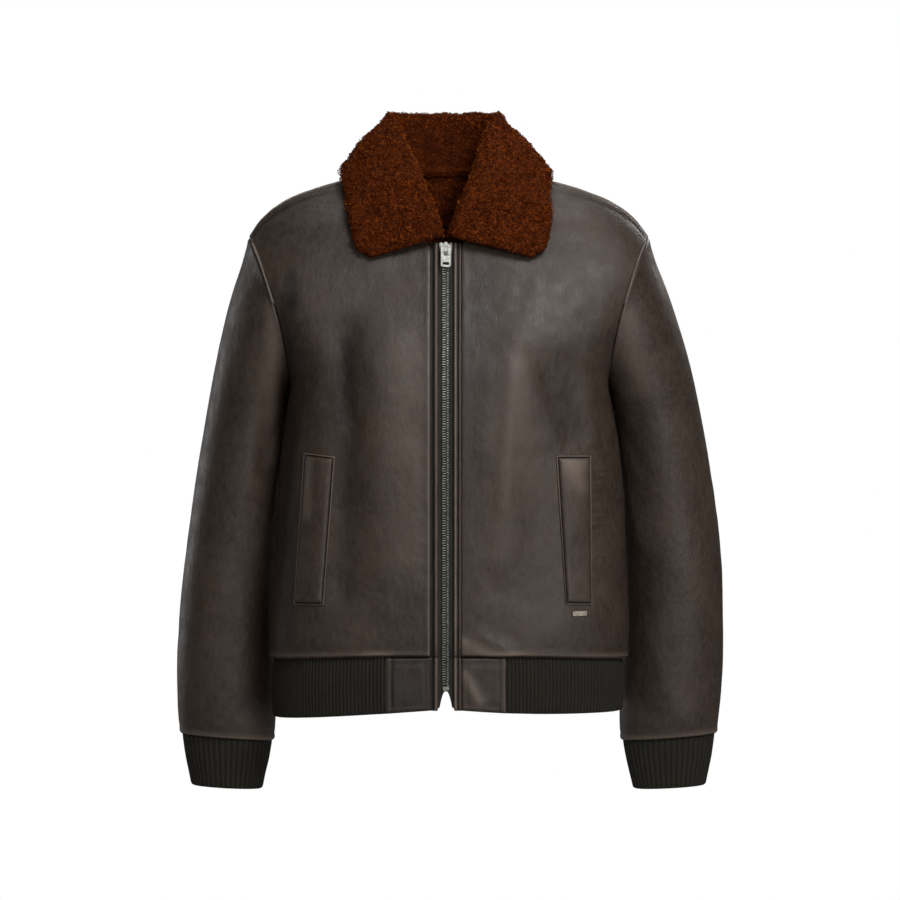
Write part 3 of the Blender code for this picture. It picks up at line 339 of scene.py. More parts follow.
def row_end(at):
    """Outer end of a row, on the armhole or on the side seam."""
    round_arm = (at >= UNDERARM_ROW) & (at <= BACK_UNDERARM_ROW)
    inside = np.clip(at, UNDERARM_ROW, BACK_UNDERARM_ROW)
    below = np.minimum(at, BACK_HEM_ROW - at)
    return np.where(round_arm[..., None], armhole_point(armhole_angle(inside)),
                    curve_through(SIDE_POINTS, below))


def folds_at(folds, x, z):
    """Height of the folds at places in the x, z plane."""
    total = np.zeros_like(x)
    for x0, z0, x1, z1, width, height in folds:
        run_x, run_z = x1 - x0, z1 - z0
        share = ((x - x0) * run_x + (z - z0) * run_z) / (run_x ** 2 + run_z ** 2)
        share = np.clip(share, 0, 1)
        away = np.hypot(x - x0 - run_x * share, z - z0 - run_z * share) / width
        total += height * np.exp(-away ** 2)
    return total


def half_body(at, across, side=1):
    """Body on the +X side, before it is carried to its side."""
    at, across = np.broadcast_arrays(np.asarray(at, float), np.asarray(across, float))
    row = curve_through(BODY_ROWS[:, 1:], at)
    start = row[..., 0:3].copy()
    start[..., 0] = np.maximum(start[..., 0], np.where(at <= SHOULDER_ROW, ZIP_EDGE, 0.0))
    lead = np.concatenate([np.ones_like(row[..., :1]), row[..., 3:5]], axis=-1)
    end = row_end(at)
    length = np.linalg.norm(end - start, axis=-1, keepdims=True)
    first = start + unit(lead) * length * row[..., 8:9]
    second = end - unit(row[..., 5:8]) * length * row[..., 9:10]
    t = across[..., None]
    point = start * (1 - t) ** 3 + first * 3 * t * (1 - t) ** 2
    point = point + second * 3 * t ** 2 * (1 - t) + end * t ** 3
    fade = smooth((1 - across) * 5)
    front = folds_at(FRONT_FOLDS, point[..., 0] * side, point[..., 2]) * fade * smooth(across * 5)
    back = folds_at(BACK_FOLDS, point[..., 0] * side, point[..., 2]) * fade
    point[..., 1] += np.where(at < SHOULDER_ROW, -front, back)
    return point


def body(at, across, side):
    """Outer surface of the body on one side."""
    return to_side(half_body(at, across, side), side)


def body_normal(at, across, side):
    """Direction straight out of the body's leather."""
    step = 0.002
    across = np.clip(across, step, 1 - step)
    at = np.clip(at, step * 5, BACK_HEM_ROW - step * 5)
    over = body(at, across + step, side) - body(at, across - step, side)
    up = body(at + step * 5, across, side) - body(at - step * 5, across, side)
    return unit(np.cross(over, up)) * side


print("chest row", np.round(body(8.0, np.array([0, 0.5, 1.0]), 1), 3).tolist())

# %% [markdown]
# ## Walls of cloth
# A sewn piece is a sheet with an outer and an inner face. Its grid of points is close-set near
# the seams, so that the edge can roll down into the seam, and wider in the middle. From the
# grid come the outer faces, the inner faces a little below and a rim along every free edge.
# Each point also keeps its distance to the nearest seam, which shapes the puffed edge here and
# tells the materials where the leather is rubbed or dark. A Solidify modifier could thicken a
# sheet as well, but it can't turn the rims into the seams or make the inside lumpier.

# %% Grids of points
SEAM_STEPS = np.array((0, 0.5, 1.1, 1.7, 2.3, 3.1, 4.3, 6.2)) / 1000
SHEEPSKIN = 0.0055
FAR_FROM_SEAM = 0.05
# over this distance a wall's edge turns towards the piece that it is sewn to
SEAM_HOLD = 0.012
ROLL_RADIUS, ROLL_DEPTH = 0.0022, 0.62
print("steps beside a seam in mm", (SEAM_STEPS * 1000).tolist())


def lengths_along(points, axis=0):
    """Distance from the first line of a grid to each point."""
    steps = np.linalg.norm(np.diff(points, axis=axis), axis=-1)
    start = np.zeros_like(np.take(steps, [0], axis=axis))
    return np.concatenate([start, np.cumsum(steps, axis=axis)], axis=axis)


def shares_along(line, count, both=True):
    """Shares of a line of points: close together at its ends and even between."""
    reach = lengths_along(line)
    last = SEAM_STEPS[-1] if both else 0.0
    even = np.linspace(SEAM_STEPS[-1], reach[-1] - last, count)
    close = (reach[-1] - SEAM_STEPS[::-1])[1:] if both else []
    wanted = np.concatenate([SEAM_STEPS[:-1], even, close])
    return np.interp(wanted, reach, np.linspace(0, 1, len(line)))


class Patch:
    """Grid of outer points with what the wall needs to know at each of them."""

    def __init__(self, points, seam=None, inward=None, hold=None, flip=False):
        self.points = points
        rows, columns = points.shape[:2]
        self.seam = np.full((rows, columns), FAR_FROM_SEAM) if seam is None else seam
        self.inward = np.zeros_like(points) if inward is None else inward
        self.hold = np.zeros((rows, columns)) if hold is None else hold
        self.lift = np.zeros((rows, columns))
        self.drop = np.zeros((rows, columns))
        self.furry = np.zeros((rows, columns))
        # painted highlight and painted shade, shares from 0 to 1 that the finishes read
        self.painted_highlight = np.zeros((rows, columns))
        self.painted_shade = np.zeros((rows, columns))
        self.flat = np.stack([lengths_along(points, 1), lengths_along(points, 0)], axis=-1)
        self.flip = flip

    def quads(self, start):
        """Faces of the grid, with its points numbered from start."""
        rows, columns = self.points.shape[:2]
        n = np.arange(rows * columns).reshape(rows, columns) + start
        quads = np.stack([n[:-1, :-1], n[:-1, 1:], n[1:, 1:], n[1:, :-1]], axis=-1).reshape(-1, 4)
        return quads[:, ::-1] if self.flip else quads


def seam_drop(distance, radius=ROLL_RADIUS):
    """How far an edge rolls down at a distance from its seam."""
    d = np.clip(distance, 0, radius)
    return radius * ROLL_DEPTH * (1 - np.sqrt(1 - (1 - d / radius) ** 2))


# %% Meshes from grids
def new_mesh(name, points, faces, materials):
    """Object with a mesh of these points and faces."""
    mesh = bpy.data.meshes.new(name)
    mesh.from_pydata(points.tolist(), [], faces)
    for material in materials:
        mesh.materials.append(material)
    thing = bpy.data.objects.new(name, mesh)
    bpy.context.collection.objects.link(thing)
    return thing


def many_small(name, points, faces, material, rounded=True):
    """One mesh of many small shapes that stays with the jacket."""
    thing = new_mesh(name, points, faces, [material])
    if rounded:
        thing.data.shade_smooth()
    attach(thing, "jacket")
    return thing


def write_attribute(thing, name, values):
    """Keep one number for each point in the mesh, for the finishes to read."""
    made = thing.data.attributes.new(name, "FLOAT", "POINT")
    made.data.foreach_set("value", np.asarray(values, np.float32))


def face_normals(points, faces):
    """Area-weighted unit normals of the points of a quad mesh."""
    a, b, c, d = (points[faces[:, k]] for k in range(4))
    across = np.cross(c - a, d - b)
    sums = np.zeros_like(points)
    for k in range(4):
        np.add.at(sums, faces[:, k], across)
    return unit(sums)


def free_edges(faces, count):
    """Directed edges that only one face has."""
    starts, ends = faces, np.roll(faces, -1, axis=1)
    there = (starts * count + ends).ravel()
    back = (ends * count + starts).ravel()
    free = ~np.isin(there, back)
    return starts.ravel()[free], ends.ravel()[free]


# %% Closed walls
# points closer than 1 / WELD metres are one point
WELD = 50000
SHARP_EDGE = math.radians(55)
INNER_SHARE_OF_LIFT = 0.7


def stacked(patches, key):
    """One kind of value of all the patches, point after point."""
    grids = [getattr(patch, key) for patch in patches]
    return np.concatenate([grid.reshape(-1, *grid.shape[2:]) for grid in grids])


def wall(name, patches, depth, materials, inner_lift=None):
    """Closed wall: outer faces with the first material, inner faces with the last."""
    starts = np.cumsum([0] + [p.points.shape[0] * p.points.shape[1] for p in patches])
    quads = np.concatenate([p.quads(start) for p, start in zip(patches, starts)])
    points = stacked(patches, "points")
    keys = np.round(points * WELD).astype(np.int64)
    _, first, number = np.unique(keys, axis=0, return_index=True, return_inverse=True)
    faces = number.reshape(-1)[quads]
    keep = np.array([len(set(face)) == 4 for face in faces.tolist()])
    faces, quads = faces[keep], quads[keep]
    base = points[first]
    normals = face_normals(base, faces)
    hold = smooth(stacked(patches, "hold")[first])[:, None]
    lift = stacked(patches, "lift")[first][:, None]
    drop = stacked(patches, "drop")[first][:, None]
    direction = unit(stacked(patches, "inward")[first] * hold - normals * (1 - hold))
    outer = base + normals * (lift - drop)
    inner = base + normals * lift * INNER_SHARE_OF_LIFT + direction * depth
    if inner_lift is not None:
        inner -= direction * inner_lift(inner)[:, None] * (1 - hold)
    count = len(base)
    a, b = free_edges(faces, count)
    rims = np.stack([b, a, a + count, b + count], axis=-1)
    every = np.concatenate([faces, faces[:, ::-1] + count, rims])
    thing = new_mesh(name, np.concatenate([outer, inner]), every.tolist(), materials)
    thing.data.shade_smooth()
    thing.data.set_sharp_from_angle(angle=SHARP_EDGE)
    index = np.zeros(len(every), np.int32)
    index[len(faces):2 * len(faces)] = len(materials) - 1
    furry = stacked(patches, "furry")[first] > 0.5
    index[2 * len(faces):][furry[a] & furry[b]] = len(materials) - 1
    thing.data.polygons.foreach_set("material_index", index)
    # distance to the seam, painted highlight and painted shade, for the finishes
    for key in ("seam", "painted_highlight", "painted_shade"):
        values = stacked(patches, key)[first]
        write_attribute(thing, key, np.concatenate([values, values * 0]))
    flat = stacked(patches, "flat")
    corners = np.concatenate([flat[quads].reshape(-1, 2), flat[quads[:, ::-1]].reshape(-1, 2),
                              np.zeros((len(rims) * 4, 2))])
    layer = thing.data.uv_layers.new(name="flat")
    layer.data.foreach_set("uv", corners.astype(np.float32).ravel())
    print(name, "faces", len(every) * 2, "size", np.round(np.ptp(outer, axis=0), 3).tolist())
    return thing


def sew_in(piece, nodes):
    """Ride with the jacket, and hide the CAD nodes that one piece of cloth replaces."""
    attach(piece, "jacket")
    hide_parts(*nodes)


# %% [markdown]
# ## Shared effects for the finishes
# Several finishes need the same things: soft blotches of tone, the fine grain of a hide, wear
# beside seams, and rows of small stitches. The nodes could be copied into every material, but
# a group is built once, has its own inputs and is placed in each material with its own values.
# The coordinates come in from outside, in metres, so a size is a real size.

# %% A new node group
def new_group(name, inputs, outputs):
    """Empty node group with named sockets; returns its tree, input node and output node."""
    tree = bpy.data.node_groups.new(name, "ShaderNodeTree")
    for label, kind, value in inputs:
        socket = tree.interface.new_socket(name=label, in_out="INPUT", socket_type="NodeSocket" + kind)
        if value is not None:
            socket.default_value = value
    for label in outputs:
        tree.interface.new_socket(name=label, in_out="OUTPUT", socket_type="NodeSocketFloat")
    return tree, tree.nodes.new("NodeGroupInput").outputs, tree.nodes.new("NodeGroupOutput").inputs


# %% Soft blotches
sockets = ("Place", "Vector", None), ("Size", "Float", 0.05), ("Contrast", "Float", 1.0)
blotches, given, result = new_group("soft_blotches", sockets, ("Amount",))
noise = add(blotches, "TexNoise", Vector=given["Place"], Scale=calc(blotches, "DIVIDE", 1.0, given["Size"]),
            Detail=4.0, Roughness=0.6)
half = calc(blotches, "MULTIPLY", given["Contrast"], 0.5)
low, high = calc(blotches, "SUBTRACT", 0.5, half), calc(blotches, "ADD", 0.5, half)
feed(blotches, result["Amount"], spread(blotches, noise.outputs[0], 0.32, 0.68, low, high))
print("group", blotches.name)

# %% Grain of a hide
sockets = ("Place", "Vector", None), ("Cell", "Float", 0.0014), ("Warp", "Float", 0.5)
grain, given, result = new_group("hide_grain", sockets, ("Height",))
scale = calc(grain, "DIVIDE", 1.0, given["Cell"])
warp = add(grain, "TexNoise", Vector=given["Place"], Scale=calc(grain, "MULTIPLY", scale, 0.35), Detail=2.0)
reach = calc(grain, "MULTIPLY", given["Cell"], given["Warp"])
shift = add(grain, "VectorMath", {"operation": "SCALE"}, Scale=reach)
feed(grain, shift.inputs[0], warp.outputs["Color"])
bent = add(grain, "VectorMath", {"operation": "ADD"})
feed(grain, bent.inputs[0], given["Place"])
feed(grain, bent.inputs[1], shift.outputs[0])
cells = add(grain, "TexVoronoi", {"feature": "DISTANCE_TO_EDGE"}, Vector=bent.outputs[0], Scale=scale)
pebble = spread(grain, cells.outputs["Distance"], 0.0, 0.28, 0.0, 1.0)
pores = add(grain, "TexNoise", Vector=given["Place"], Scale=calc(grain, "MULTIPLY", scale, 2.2), Detail=3.0)
feed(grain, result["Height"], calc(grain, "MULTIPLY_ADD", pores.outputs[0], 0.6, pebble))
print("group", grain.name)

# %% Wear beside a seam
sockets = ("Place", "Vector", None), ("Seam", "Float", 0.05), ("Reach", "Float", 0.006)
wear, given, result = new_group("seam_wear", sockets, ("Groove", "Rubbed"))
feed(wear, result["Groove"], spread(wear, given["Seam"], 0.0001, 0.0016, 1.0, 0.0))
near = spread(wear, calc(wear, "DIVIDE", given["Seam"], given["Reach"]), 0.25, 1.0, 1.0, 0.0)
patchy = add(wear, "TexNoise", Vector=given["Place"], Scale=90.0, Detail=3.0)
broken = spread(wear, patchy.outputs[0], 0.4, 0.65, 0.0, 1.0)
feed(wear, result["Rubbed"], calc(wear, "MULTIPLY", near, broken))
print("group", wear.name)

# %% Rows of knitted or woven stitches
sockets = ("Flat", "Vector", None), ("Column", "Float", 0.0024), ("Row", "Float", 0.002)
loops, given, result = new_group("stitch_rows", sockets, ("Height", "Strand"))
flat = add(loops, "SeparateXYZ", Vector=given["Flat"])
column = calc(loops, "FRACT", calc(loops, "DIVIDE", flat.outputs[0], given["Column"]))
side = calc(loops, "ABSOLUTE", calc(loops, "SUBTRACT", column, 0.5))
row = calc(loops, "DIVIDE", flat.outputs[1], given["Row"])
slant = calc(loops, "FRACT", calc(loops, "MULTIPLY_ADD", side, 1.3, row))
leg = calc(loops, "SINE", calc(loops, "MULTIPLY", slant, math.pi))
wale = calc(loops, "SINE", calc(loops, "MULTIPLY", calc(loops, "MULTIPLY", side, 2.0), math.pi))
feed(loops, result["Height"], calc(loops, "MULTIPLY", leg, calc(loops, "MULTIPLY_ADD", wale, 0.6, 0.4)))
feed(loops, result["Strand"], leg)
print("group", loops.name)


# %% Helpers for finishes
def new_finish(name):
    """New material; returns it, its node tree and the inputs of its shader."""
    material = bpy.data.materials.new(name)
    material.use_nodes = True
    return material, material.node_tree, material.node_tree.nodes["Principled BSDF"].inputs


def use(tree, group, **inputs):
    """One group placed in a material; returns its outputs."""
    node = tree.nodes.new("ShaderNodeGroup")
    node.node_tree = group
    for key, value in inputs.items():
        feed(tree, node.inputs[key], value)
    return node.outputs


def bumps(tree, height, depth, under=None):
    """Normal from a height from 0 to 1 and its depth in metres."""
    node = add(tree, "Bump", Height=height, Distance=depth, Strength=1.0)
    if under is not None:
        feed(tree, node.inputs["Normal"], under)
    return node.outputs["Normal"]


def in_metres(tree):
    """Place on the object, in metres."""
    return add(tree, "TexCoord").outputs["Object"]


def painted(tree, key):
    """A value that the mesh carries at each point."""
    return add(tree, "Attribute", {"attribute_name": key}).outputs["Fac"]


# %% [markdown]
# ## Leather
# The leather is a drum-dyed dark brown hide with a soft gloss. Its tone changes a little in
# large clouds, it is darker down in the seams and rubbed paler beside them, and its grain is
# fine pebbles of about a millimetre. A picture of leather would repeat and blur close up. Here
# every tone comes from noise and from values that the mesh carries, so wear sits on the seams.
# The mesh also carries painted highlights and painted shade where light and shadow fall.

# %% Leather
leather, tree, shader = new_finish("dark_brown_leather")
place = in_metres(tree)
upright = add(tree, "Mapping", Vector=place, Scale=(1.0, 1.0, 0.60)).outputs[0]
clouds = use(tree, blotches, Place=place, Size=0.07, Contrast=0.9)["Amount"]
specks = use(tree, blotches, Place=upright, Size=0.0055, Contrast=1.0)["Amount"]
worn = use(tree, wear, Place=place, Seam=painted(tree, "seam"), Reach=0.007)
tone = blend(tree, clouds, paint(42, 32, 26), paint(57, 46, 38))
tone = blend(tree, calc(tree, "MULTIPLY", specks, 0.32), tone, paint(76, 63, 53))
tone = blend(tree, calc(tree, "MULTIPLY", worn["Rubbed"], 0.18), tone, paint(86, 73, 61))
# painted highlight towards pale grey and painted shade towards near black, from the mesh
tone = blend(tree, calc(tree, "MULTIPLY", painted(tree, "painted_highlight"), 0.80), tone, paint(126, 112, 101))
tone = blend(tree, calc(tree, "MULTIPLY", painted(tree, "painted_shade"), 0.80), tone, paint(17, 12, 9))
tone = blend(tree, calc(tree, "MULTIPLY", worn["Groove"], 0.85), tone, paint(12, 8, 6))
feed(tree, shader["Base Color"], tone)
gloss = use(tree, blotches, Place=place, Size=0.02, Contrast=1.0)["Amount"]
gloss = calc(tree, "MULTIPLY_ADD", specks, 0.4, gloss)
feed(tree, shader["Roughness"], spread(tree, gloss, 0.0, 1.4, 0.42, 0.58))
shader["Specular IOR Level"].default_value = 0.36
shader["Coat Weight"].default_value = 0.05
shader["Coat Roughness"].default_value = 0.35
creases = use(tree, blotches, Place=upright, Size=0.013, Contrast=1.0)["Amount"]
soft = bumps(tree, creases, 0.00034)
pebbles = use(tree, grain, Place=place, Cell=0.0015, Warp=0.8)["Height"]
feed(tree, shader["Normal"], bumps(tree, pebbles, 0.00008, soft))
print("finish", leather.name)


# %% [markdown]
# ## Pile
# The pile is a soft fuzz, rust or orange on top of the curls, with painted shade that makes it
# almost black between them. One function makes it three times: for the curls, for the skin
# under them and for the short pile inside. It has next to no gloss, because light sinks in
# between the fibres. Hair would look finer, but it is slow and doesn't export, so the curls are meshes and
# the rest is bumps.

# %% Pile
def pile_finish(name, dark, middle, bright, with_curls):
    """Curly pile; on curls the tone follows each curl, with painted shade towards its root."""
    material, tree, shader = new_finish(name)
    place = in_metres(tree)
    clumps = use(tree, blotches, Place=place, Size=0.007, Contrast=1.0)["Amount"]
    fuzz = use(tree, blotches, Place=place, Size=0.0022, Contrast=1.0)["Amount"]
    if with_curls:
        tint, height_or_clumps = painted(tree, "tint"), painted(tree, "tip")
    else:
        tint, height_or_clumps = fuzz, clumps
    tone = blend(tree, tint, dark, middle)
    tone = blend(tree, spread(tree, tint, 0.55, 1.0, 0.0, 0.6), tone, bright)
    # on curls painted shade towards the root, down between the curls; elsewhere darker clumps
    tone = blend(tree, spread(tree, height_or_clumps, 0.0, 0.8, 0.7, 0.0), tone, dark)
    # painted highlight and painted shade that the mesh carries
    tone = blend(tree, calc(tree, "MULTIPLY", painted(tree, "painted_highlight"), 0.5), tone, bright)
    tone = blend(tree, calc(tree, "MULTIPLY", painted(tree, "painted_shade"), 0.3), tone, dark)
    feed(tree, shader["Base Color"], tone)
    feed(tree, shader["Roughness"], spread(tree, fuzz, 0.0, 1.0, 0.7, 0.95))
    shader["Specular IOR Level"].default_value = 0.05
    soft = bumps(tree, clumps, 0.0018)
    feed(tree, shader["Normal"], bumps(tree, fuzz, 0.0009, soft))
    print("finish", name)
    return material


collar_pile = pile_finish("rust_collar_pile", paint(60, 21, 3), paint(126, 56, 14),
                          paint(170, 90, 32), True)
collar_skin = pile_finish("rust_collar_roots", paint(56, 20, 3), paint(104, 44, 10),
                          paint(132, 63, 18), False)
lining_pile = pile_finish("dark_lining_pile", paint(62, 24, 4), paint(128, 58, 16),
                          paint(160, 82, 30), False)

# %% [markdown]
# ## Knit, tape and thread
# The knit shows rows of small loops between its ribs, the tape a tight weave, and the thread a
# slight sheen. All three are matt and nearly black or dark brown. The loops are far too small
# and too many to model, so they are a height from the group of stitch rows. It is measured on
# the flat cloth, which is why each wall keeps a map of its flat size.

# %% Rib knit
knit, tree, shader = new_finish("dark_rib_knit")
place = in_metres(tree)
flat = add(tree, "TexCoord").outputs["UV"]
rows = use(tree, loops, Flat=flat, Column=0.00235, Row=0.0021)
fuzz = use(tree, blotches, Place=place, Size=0.0016, Contrast=1.0)["Amount"]
clouds = use(tree, blotches, Place=place, Size=0.03, Contrast=1.0)["Amount"]
tone = blend(tree, clouds, paint(20, 18, 13), paint(29, 27, 20))
tone = blend(tree, calc(tree, "MULTIPLY", rows["Strand"], 0.5), tone, paint(50, 47, 36))
# painted shade in the furrows between the ribs
tone = blend(tree, calc(tree, "MULTIPLY", painted(tree, "painted_shade"), 0.85), tone, paint(6, 5, 3))
feed(tree, shader["Base Color"], tone)
feed(tree, shader["Roughness"], spread(tree, fuzz, 0.0, 1.0, 0.72, 0.95))
shader["Specular IOR Level"].default_value = 0.3
soft = bumps(tree, rows["Height"], 0.0005)
feed(tree, shader["Normal"], bumps(tree, fuzz, 0.0002, soft))
print("finish", knit.name)

# %% Tape and thread
tape, tree, shader = new_finish("zip_tape_weave")
place = in_metres(tree)
weave = use(tree, loops, Flat=add(tree, "TexCoord").outputs["UV"], Column=0.0016, Row=0.0009)
dust = use(tree, blotches, Place=place, Size=0.012, Contrast=1.0)["Amount"]
tone = blend(tree, weave["Strand"], paint(15, 15, 12), paint(32, 32, 26))
feed(tree, shader["Base Color"], blend(tree, calc(tree, "MULTIPLY", dust, 0.25), tone, paint(52, 50, 42)))
feed(tree, shader["Roughness"], spread(tree, dust, 0.0, 1.0, 0.7, 0.9))
feed(tree, shader["Normal"], bumps(tree, weave["Height"], 0.0003))

thread, tree, shader = new_finish("brown_thread")
place = in_metres(tree)
fuzz = use(tree, blotches, Place=place, Size=0.0006, Contrast=1.0)["Amount"]
feed(tree, shader["Base Color"], blend(tree, fuzz, paint(52, 40, 33), paint(112, 93, 80)))
feed(tree, shader["Roughness"], spread(tree, fuzz, 0.0, 1.0, 0.45, 0.7))
feed(tree, shader["Normal"], bumps(tree, fuzz, 0.0002))
print("finishes", tape.name, thread.name)


# %% [markdown]
# ## Metal
# The slider and its pull are bright nickel, the teeth a darker plating and the small plate is
# brushed. They differ only in tone and roughness, so one function makes them all. A plain
# mirror would look like a toy: handling marks and scratches break up what it reflects.

# %% Metal
def metal_finish(name, dull, bright, rough_low, rough_high):
    """Plated metal with handling marks and fine scratches."""
    material, tree, shader = new_finish(name)
    place = in_metres(tree)
    marks = use(tree, blotches, Place=place, Size=0.004, Contrast=1.0)["Amount"]
    stretched = add(tree, "Mapping", Vector=place, Scale=(1.0, 1.0, 0.12))
    lines = use(tree, blotches, Place=stretched.outputs[0], Size=0.0004, Contrast=1.0)["Amount"]
    feed(tree, shader["Base Color"], blend(tree, marks, dull, bright))
    feed(tree, shader["Roughness"], spread(tree, marks, 0.0, 1.0, rough_high, rough_low))
    shader["Metallic"].default_value = 1.0
    feed(tree, shader["Normal"], bumps(tree, lines, 0.00002))
    print("finish", name)
    return material


nickel = metal_finish("bright_nickel", paint(150, 150, 144), paint(208, 208, 200), 0.38, 0.55)
teeth_metal = metal_finish("dark_nickel_teeth", paint(122, 122, 112), paint(170, 170, 158), 0.35, 0.5)
tag_metal = metal_finish("brushed_tag_metal", paint(140, 133, 121), paint(200, 192, 178), 0.5, 0.7)

# %% [markdown]
# ## Front and back panels
# The panels are the jacket's large calm surfaces. Beside the seams the leather is puffed by
# the pile under it, and most of all along the hem, where the knit draws it in. Broad folds hang
# from the chest. They come with the form above; finer ones are added here as soft troughs and
# ridges, with small puckers beside the pocket welts and faint unevenness everywhere. A cloth
# simulation would find folds of its own; listed one by one, they lie where the photograph has them.

# %% Folds of the panels
# ends (x, z), half width and height of each crease
FRONT_CREASES = (
    (-0.128, -0.205, -0.118, -0.300, 0.0100, -0.0016),
    (-0.112, -0.300, -0.128, -0.400, 0.0120, -0.0020),
    (-0.080, -0.240, -0.090, -0.420, 0.0150, 0.0012),
    (-0.040, -0.330, -0.036, -0.500, 0.0120, 0.0012),
    (-0.150, -0.225, -0.166, -0.300, 0.0100, 0.0014),
    (0.055, -0.235, 0.043, -0.330, 0.0120, 0.0012),
    (0.104, -0.215, 0.128, -0.245, 0.0100, -0.0016),
    (0.120, -0.245, 0.150, -0.320, 0.0110, -0.0018),
    (0.080, -0.235, 0.068, -0.400, 0.0100, 0.0016),
    (0.172, -0.245, 0.183, -0.330, 0.0090, 0.0014),
    (0.040, -0.555, 0.068, -0.570, 0.0050, 0.0014),
    (0.050, -0.540, 0.085, -0.560, 0.0070, -0.0010),
    (0.030, -0.450, 0.052, -0.545, 0.0130, 0.0010),
)
BACK_CREASES = (
    (-0.110, -0.200, -0.090, -0.330, 0.0120, 0.0014),
    (0.110, -0.190, 0.098, -0.320, 0.0120, 0.0014),
    (-0.030, -0.300, -0.034, -0.500, 0.0130, -0.0012),
    (0.050, -0.340, 0.040, -0.520, 0.0130, 0.0012),
    (-0.150, -0.240, -0.168, -0.330, 0.0100, -0.0016),
    (0.150, -0.240, 0.168, -0.330, 0.0100, -0.0016),
)
# painted highlights and painted shade on the fronts: ends (x, z), half width, strength
FRONT_HIGHLIGHTS = (
    (-0.046, -0.200, -0.044, -0.450, 0.026, 0.17),
    (0.084, -0.209, 0.100, -0.366, 0.014, 0.12),
    (0.082, -0.230, 0.060, -0.450, 0.018, 0.16),
    (0.020, -0.562, 0.066, -0.580, 0.006, 0.60),
)
FRONT_SHADE = (
    (-0.125, -0.040, -0.190, -0.070, 0.045, 0.38),
    (-0.190, -0.150, -0.194, -0.560, 0.013, 0.62),
    (-0.095, -0.140, -0.105, -0.240, 0.026, 0.22),
    (0.045, -0.110, 0.045, -0.250, 0.024, 0.50),
    (0.150, -0.555, 0.205, -0.555, 0.016, 0.30),
    (-0.040, -0.520, -0.040, -0.560, 0.024, 0.30),
    (-0.110, -0.175, -0.134, -0.366, 0.020, 0.34),
    (-0.120, -0.200, -0.122, -0.510, 0.013, 0.30),
    (-0.188, -0.118, -0.184, -0.150, 0.009, 0.85),
    (0.144, -0.255, 0.150, -0.305, 0.024, 0.45),
    (0.0235, -0.150, 0.0235, -0.550, 0.006, 0.40),
)
# upright strips with level puckers: left and right edge, lower and upper end, height
PUCKERS = (
    (0.177, 0.203, -0.480, -0.335, 0.0017),
    (-0.203, -0.186, -0.480, -0.335, 0.0003),
    (-0.036, -0.020, -0.500, -0.150, 0.00022),
)
PUCKER_PACE = 0.0016
print("creases", len(FRONT_CREASES), "in front and", len(BACK_CREASES), "behind")


# %% Puckers
def puckers(points, x_low, x_high, z_low, z_high, height):
    """Short level wrinkles in one upright strip, uneven in height and spacing."""
    x, z = points[..., 0], points[..., 2]
    inside = smooth((x - x_low) / 0.004) * smooth((x_high - x) / 0.006)
    inside = inside * smooth((z - z_low) / 0.02) * smooth((z_high - z) / 0.02)
    turn = 5.0 * ripple(points, 0.016) + (x - x_low) / 0.012
    wave = np.sin(z / PUCKER_PACE + turn) * (0.35 + 0.65 * ripple(points, 0.011, 5.0))
    return height * inside * wave


# %% Grid of a panel
# the form is averaged over these rows beside the underarm, where two curves meet
EASE_SHIFTS = np.linspace(-1.2, 1.2, 9)
# between these rows the grid of the front is twice as close
PUCKERED_ROWS = (2.55, 4.45)
# above this row and this height the front shows its lapped shoulder and its neckline
YOKE_ROW = 9.5
NECK_FRONT_HEIGHT = -0.09
# strength of the painted highlight beside the zip band on each side
BAND_EDGE_HIGHLIGHT = {-1: 0.55, 1: 0.1}
# puffs, waves, painted highlights and painted shade that run along a seam: distance of the
# crest from the seam, and half width
HEM_PUFF, HEM_HIGHLIGHT, HEM_SHADE = (0.0062, 0.0044), (0.0064, 0.0017), (0.0135, 0.0040)
SEAM_PUFF, SEAM_WAVES = (0.0042, 0.0026), (0.008, 0.008)
ZIP_SEAM_HIGHLIGHT, SHOULDER_HIGHLIGHT = (0.0022, 0.0009), (0.0030, 0.0020)
# distance from the middle of the front, and half width, of the hem above the tabs
ABOVE_TAB = (0.082, 0.016)


